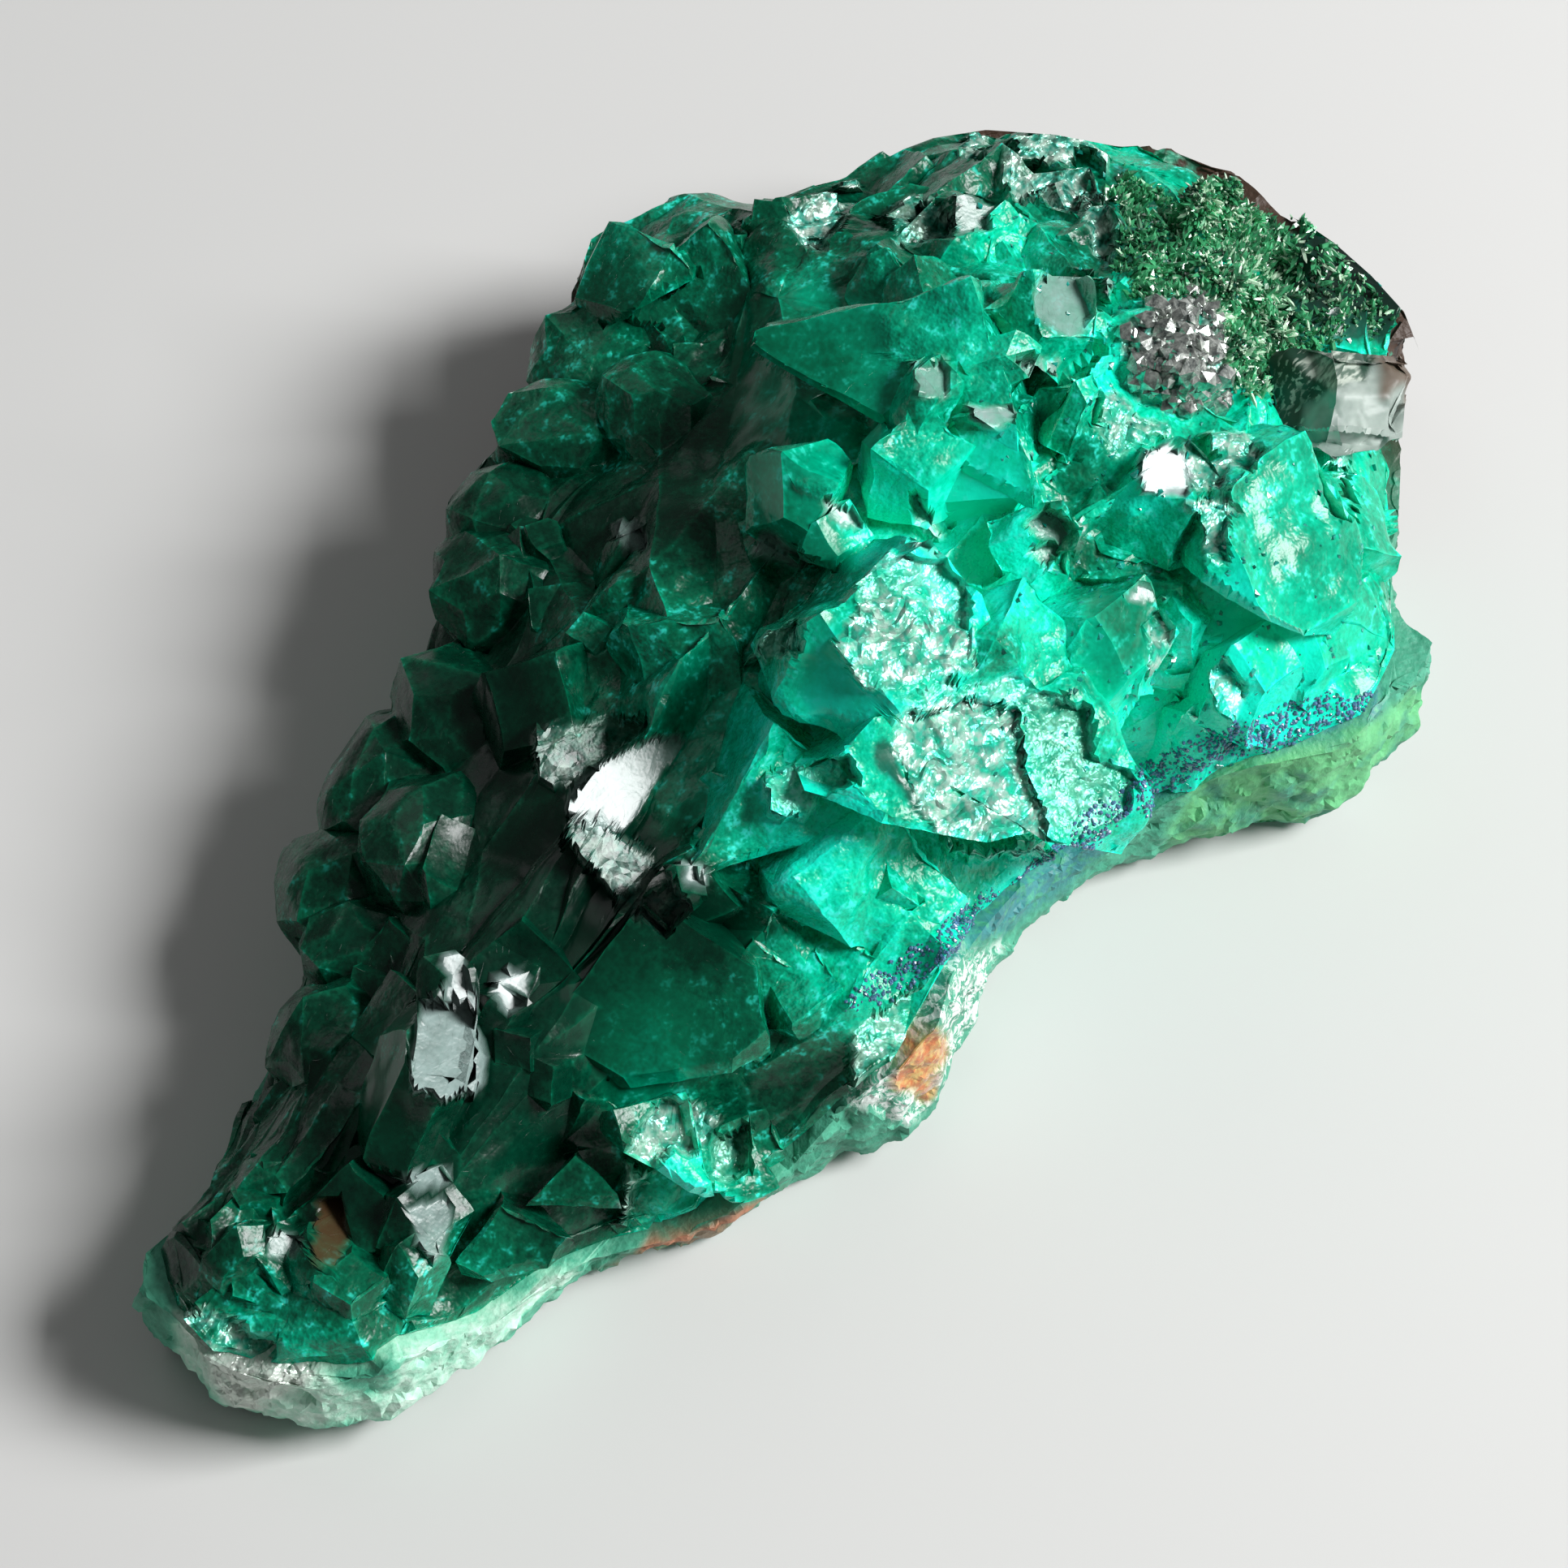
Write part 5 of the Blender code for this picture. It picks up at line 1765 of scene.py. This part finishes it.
@dataclass
class HostRock:
    """The rock plate: its solid, cut finer and given lumps, pits and grain."""

    fine: float = 0.2
    coarse: float = 1.2
    flat_under: float = -0.7
    flat_over: float = 0.8
    foot_height: float = 0.25
    trimmed_above: float = 3.0
    lumps: tuple = (1.3, 0.16)
    pieces: tuple = (0.8, 0.05, 0.18)
    small_pieces: tuple = (0.3, 0.02, 0.2)
    seed: int = 23
    nose: Face = Face("nose", Look.PALE, (
        (1465, 935), (1600, 925), (1700, 880), (1770, 830), (1790, 870), (1630, 1040), (1440, 1050)))
    speck: Face = Face("speck", Look.PALE, (
        (1035, 1270), (1130, 1195), (1230, 1165), (1215, 1240), (1170, 1330), (1120, 1380),
        (1050, 1360)))
    rust: Face = Face("rust", Look.BROWN, (
        (1084, 1270), (1108, 1252), (1160, 1266), (1166, 1302), (1140, 1352), (1104, 1346)))
    skin_strip: Face = Face("skin", Look.BROWN, (
        (725, 1566), (800, 1536), (880, 1505), (960, 1474), (1040, 1428), (1060, 1450), (900, 1540),
        (730, 1600)))
    pale: Face = Face("pale", Look.PALE, (
        (215, 1610), (300, 1645), (500, 1635), (650, 1585), (720, 1550), (680, 1640), (540, 1740),
        (380, 1765), (280, 1745), (215, 1680)))
    # Where the rock is painted with a silver reflection
    painted_silver_reflection: Face = Face("painted_silver_reflection", Look.FOIL, (
        (222, 1625), (262, 1618), (300, 1648), (405, 1665), (385, 1700), (330, 1730), (290, 1745),
        (262, 1700)))
    blotch: Face = Face("blotch", Look.GREEN, (
        (400, 1690), (440, 1675), (500, 1680), (490, 1705), (430, 1712)))

    def relief(self, points: np.ndarray, noise: Noise) -> np.ndarray:
        """How far each point moves out: lumps, and broken fields of two sizes, none at the foot.

        Args:
            points: places, an array of N by 3.
            noise: the rock's own random fields.

        Returns:
            N lengths along the surface's direction.
        """
        size, height = self.lumps
        lift = height * noise.layered(points, size) + noise.broken(points, *self.pieces)
        lift += Noise(self.seed + 1).broken(points, *self.small_pieces)
        return lift * smooth_step(0.0, self.foot_height, points[:, 2])

    def build(self) -> bpy.types.Object:
        """Make the rock's piece.

        Returns:
            The piece.
        """
        solid = Surface.of_node("matrix")
        _, _, normals = solid.facet_values()
        over = normals[:, 2] > self.flat_over
        hidden = (normals[:, 2] < self.flat_under) | over
        surface = solid.refined(np.where(hidden, self.coarse, self.fine))
        points = surface.points.copy()
        ways = surface.point_normals()
        noise = Noise(self.seed)
        lift = self.relief(points, noise)
        lift *= 1.0 - 0.8 * surface.to_points(over.astype(float))
        surface.points = points + ways * lift[:, None]
        surface.points[points[:, 2] < 1e-4, 2] = 0.0
        high = points[:, 2] > self.trimmed_above
        surface.points[high] = trimmed(surface.points[high])
        seen, _ = VIEW.seen(surface.points)
        faces = smooth_step(-0.1, 0.2, ways @ VIEW.axes()[2])
        ragged = 9.0 * noise.layered(points, 0.6, 2)
        fields = {"nose": self.nose, "speck": self.speck, "rust": self.rust, "pale": self.pale,
                  "painted_silver_reflection": self.painted_silver_reflection, "blotch": self.blotch, "seam": SEAM_FIELD}
        values = {key: field.share(seen, ragged, 10.0) * faces for key, field in fields.items()}
        far_edge = smooth_step(3.0, 8.0, points @ PICTURE_AWAY)
        values["strip"] = self.skin_strip.share(seen, ragged, 8.0) * faces
        values["skin"] = np.maximum(values["strip"], far_edge)
        thing = surface.to_object("host_rock", values)
        return add_piece(thing, "host_rock", RockFinish().material(), "matrix")


@dataclass
class PaleCrystal:
    """The pale crystal at the right edge of the head."""

    fine: float = 0.11
    seed: int = 31
    shrunk: float = 0.12
    lowered: float = 0.55
    lowered_over: float = 2.6
    most_lowered: float = 1.4
    large_pieces: tuple = (1.7, 0.10, 0.30, 25.0)
    small_pieces: tuple = (0.6, 0.01, 0.07)
    clear: Face = Face("clear", Look.DARK, (
        (1540, 380), (1690, 380), (1700, 440), (1680, 466), (1632, 484), (1612, 500), (1600, 560),
        (1540, 560)))
    skin: Face = Face("pale_skin", Look.BROWN, (
        (1698, 360), (1790, 360), (1790, 560), (1732, 520), (1732, 475), (1704, 488), (1694, 440)))
    ruled: Face = Face("ruled", Look.PALE, ((1604, 448), (1657, 419), (1677, 465), (1641, 482)), 0.8)

    def build(self) -> bpy.types.Object:
        """Make its piece.

        Returns:
            The piece.
        """
        surface = Surface.of_node("pale_crystal").refined(self.fine)
        points = surface.points.copy()
        noise = Noise(self.seed)
        ways = surface.point_normals()
        lift = noise.broken(points, *self.large_pieces) + noise.broken(points, *self.small_pieces)
        moved = points + ways * (lift - self.shrunk)[:, None]
        top = points[:, 2].max()
        across, _ = picture_place(points - points.mean(axis=0))
        near_top = smooth_step(top - self.lowered_over, top, points[:, 2])
        low = self.lowered * near_top * (1.0 - 0.35 * across)
        moved[:, 2] -= np.clip(low, 0.0, self.most_lowered)
        surface.points = moved
        seen, _ = VIEW.seen(surface.points)
        ragged = 6.0 * noise.layered(points, 0.6, 2)
        values = {
            "clear": self.clear.share(seen, ragged),
            "skin": self.skin.share(seen, ragged, 9.0),
            "ruled": self.ruled.share(seen, 0.3 * ragged, 4.0),
        }
        thing = surface.to_object("pale_mineral_crystal", values)
        return add_piece(thing, "pale_mineral", PaleFinish().material(), "pale_crystal")


@dataclass
class Grains:
    """Small closed bodies of one kind, scattered over a part of the crust."""

    finish: GrainFinish
    grain: Grain
    count: int
    width: tuple
    height: tuple
    lean: float
    seed: int
    sink: float = 0.05

    def build(self, surface: Surface, weights: np.ndarray) -> bpy.types.Object:
        """Scatter the bodies and make one object of them.

        Args:
            surface: what they stand on.
            weights: how likely a place is on each triangle.

        Returns:
            The piece, which has its finish's name.
        """
        chance = np.random.default_rng(self.seed)
        places, ups = surface.scatter(weights, self.count, chance)
        ups = unit(ups + chance.normal(size=ups.shape) * self.lean)
        least, most = self.width
        widths = least + (most - least) * chance.uniform(size=self.count) ** 2
        heights = widths * chance.uniform(*self.height, self.count)
        grown = grown_on(places - ups * self.sink, ups, widths, heights, self.grain, chance)
        thing = grown.to_object(self.finish.name, None, None)
        return add_piece(thing, "dioptase", self.finish.material())


@dataclass
class SmallBodies:
    """The druse, the knobs on the head, the blue grains along the seam and the loose chips."""

    ragged: float = 12.0
    slope_across: tuple = (1560.0, 1600.0)
    slope_down: tuple = (430.0, 400.0)
    chips_across: tuple = (1150.0, 1350.0)

    def build(self, crust: Surface) -> None:
        """Set every kind of small body on the crust or along the seam.

        Args:
            crust: the surface on which they stand.
        """
        middles = crust.points[crust.triangles].mean(axis=1)
        ways = unit(crust.face_vectors())
        seen, _ = VIEW.seen(middles)
        ragged = self.ragged * Noise(91).layered(middles, 0.8, 2)
        shown = VIEW.shown(middles, ways)
        druse = DRUSE_FIELD.share(seen, ragged) * shown
        knobs = KNOB_FIELD.share(seen) * shown
        streaks = STREAK_FIELD.share(seen, ragged) * shown
        slope = smooth_step(*self.slope_across, seen[:, 0]) * smooth_step(*self.slope_down, seen[:, 1])
        seam = SEAM_FIELD.share(seen, ragged) * smooth_step(-0.1, 0.3, ways @ VIEW.axes()[2])
        chips = (DRUSE_FIELD.share(seen) < 0.1) * shown
        chips = chips * smooth_step(*self.chips_across, seen[:, 0])
        fields = {
            "druse": druse * (1.0 - knobs) * (1.0 - 0.75 * slope),
            "druse_painted_glints": druse * (0.3 - 0.1 * slope) + 1.2 * streaks,
            "head_knobs": knobs,
            "seam_grains": seam,
            "crystal_chips": chips,
        }
        for grains in self.kinds():
            grains.build(crust, fields[grains.finish.name])

    @staticmethod
    def kinds() -> tuple[Grains, ...]:
        """The kinds of small bodies, in the order in which they are made."""
        return (
            Grains(GrainFinish("druse", (0.001, 0.02, 0.008), (0.07, 0.48, 0.20), 0.7),
                   Grain.PRISM, 7500, (0.05, 0.15), (0.8, 2.0), 0.4, 71),
            # Pale grains that stand for glints: painted highlights
            Grains(GrainFinish("druse_painted_glints", (0.26, 0.60, 0.34), (0.80, 0.92, 0.76), 0.3, 0.1),
                   Grain.PRISM, 3400, (0.03, 0.10), (0.9, 2.4), 0.6, 73, 0.0),
            Grains(GrainFinish("head_knobs", (0.10, 0.12, 0.12), (0.75, 0.80, 0.74), 0.22, 0.12,
                               metal=0.85),
                   Grain.LUMP, 240, (0.25, 0.80), (0.5, 0.8), 0.4, 74, -0.05),
            Grains(GrainFinish("seam_grains", (0.01, 0.09, 0.12), (0.07, 0.17, 0.36), 0.3, 0.3),
                   Grain.LUMP, 2400, (0.04, 0.14), (0.6, 1.0), 0.3, 75, 0.0),
            Grains(GrainFinish("crystal_chips", (0.0, 0.10, 0.07), (0.01, 0.62, 0.50), 0.8, 0.1, 0.3),
                   Grain.CHIP, 1200, (0.08, 0.22), (0.3, 0.8), 0.5, 72),
        )


@dataclass
class Studio:
    """Plain floor, soft lights and the camera at the picture's angle."""

    floor_size: float = 1600.0
    floor_steps: int = 41
    floor_flat: float = 0.8
    floor_rise: float = 400.0
    floor_low: tuple = (0.62, 0.62, 0.61)
    floor_high: tuple = (0.65, 0.65, 0.64)
    key_radiance: float = 32.5
    key_size: float = 120.0
    key_distance: float = 300.0
    fill_radiance: float = 0.6
    fill_size: float = 200.0
    fill_distance: float = 400.0
    world: float = 0.12
    nearest: float = 0.002
    farthest: float = 10.0

    def build(self) -> None:
        """Set up floor, lights, world and camera."""
        self.floor()
        self.key()
        self.fill()
        self.surroundings()
        self.camera()

    def floor(self) -> None:
        """Lay a pale matt floor, gently curved up at its far edges so that no horizon shows."""
        steps = np.linspace(-1.0, 1.0, self.floor_steps)
        x, y = np.meshgrid(steps, steps, indexing="ij")
        rise = np.clip(np.hypot(x, y) - self.floor_flat, 0.0, None) ** 2 * self.floor_rise
        grid = np.stack([x * self.floor_size / 2, y * self.floor_size / 2, rise], axis=-1)
        number = np.arange(grid[..., 0].size).reshape(x.shape)
        a, b, c, d = number[:-1, :-1], number[1:, :-1], number[1:, 1:], number[:-1, 1:]
        halves = [np.stack(corners, -1).reshape(-1, 3) for corners in ((a, b, c), (a, c, d))]
        triangles = np.concatenate(halves)
        surface = Surface(grid.reshape(-1, 3), triangles, np.zeros(len(triangles), int))
        thing = surface.to_object("floor")
        paint = Paint("floor")
        tint = paint.mix(paint.noise(40.0), self.floor_low, self.floor_high)
        thing.data.materials.append(paint.principled({"Base Color": tint, "Roughness": 0.8}))
        thing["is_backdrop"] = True

    def lamp(self, name: str, way: np.ndarray, distance: float, size: float,
             radiance: float) -> None:
        """Hang a square soft light that looks at the specimen.

        Args:
            name: its name.
            way: the direction in which it hangs, seen from the specimen.
            distance: how far off it is.
            size: the length of its side.
            radiance: how bright its face is.
        """
        light = bpy.data.lights.new(name, "AREA")
        light.shape = "SQUARE"
        light.size = size * MM
        light.energy = radiance * math.pi * (size * MM) ** 2
        thing = bpy.data.objects.new(name, light)
        away = Vector(unit(way)) * distance * MM
        thing.location = Vector(VIEW.aim) * MM + away
        thing.rotation_euler = away.to_track_quat("Z", "Y").to_euler()
        bpy.context.scene.collection.objects.link(thing)

    def key(self) -> None:
        """The key light, from the picture's right."""
        self.lamp("key", KEY_WAY, self.key_distance, self.key_size, self.key_radiance)

    def fill(self) -> None:
        """A weak wide light from the far left."""
        way = PICTURE_AWAY * 0.6 - PICTURE_RIGHT * 0.5 + np.array((0.0, 0.0, 0.8))
        self.lamp("fill", way, self.fill_distance, self.fill_size, self.fill_radiance)

    def surroundings(self) -> None:
        """A dim even world."""
        world = bpy.data.worlds.new("studio")
        world.use_nodes = True
        back = world.node_tree.nodes["Background"]
        back.inputs["Color"].default_value = (1.0, 1.0, 1.0, 1.0)
        back.inputs["Strength"].default_value = self.world
        bpy.context.scene.world = world
        bpy.context.scene.view_settings.view_transform = "Standard"

    def camera(self) -> None:
        """Look down at the specimen as the picture does."""
        lens = bpy.data.cameras.new("camera")
        lens.lens = VIEW.lens
        lens.sensor_width = VIEW.sensor
        lens.clip_start = self.nearest
        lens.clip_end = self.farthest
        back = Vector(VIEW.axes()[2])
        thing = bpy.data.objects.new("camera", lens)
        thing.location = (Vector(VIEW.aim) + back * VIEW.distance) * MM
        thing.rotation_euler = back.to_track_quat("Z", "Y").to_euler()
        bpy.context.scene.collection.objects.link(thing)
        bpy.context.scene.camera = thing


def main() -> None:
    """Build the specimen's pieces in order, then the studio around them."""
    logging.basicConfig(level=logging.INFO, format="%(message)s")
    crust = CrystalCrust().build()
    HostRock().build()
    PaleCrystal().build()
    SmallBodies().build(crust)
    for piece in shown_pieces():
        LOG.info("%s: %d faces", piece.name, len(piece.data.polygons))
    Studio().build()


if __name__ == "__main__":
    main()
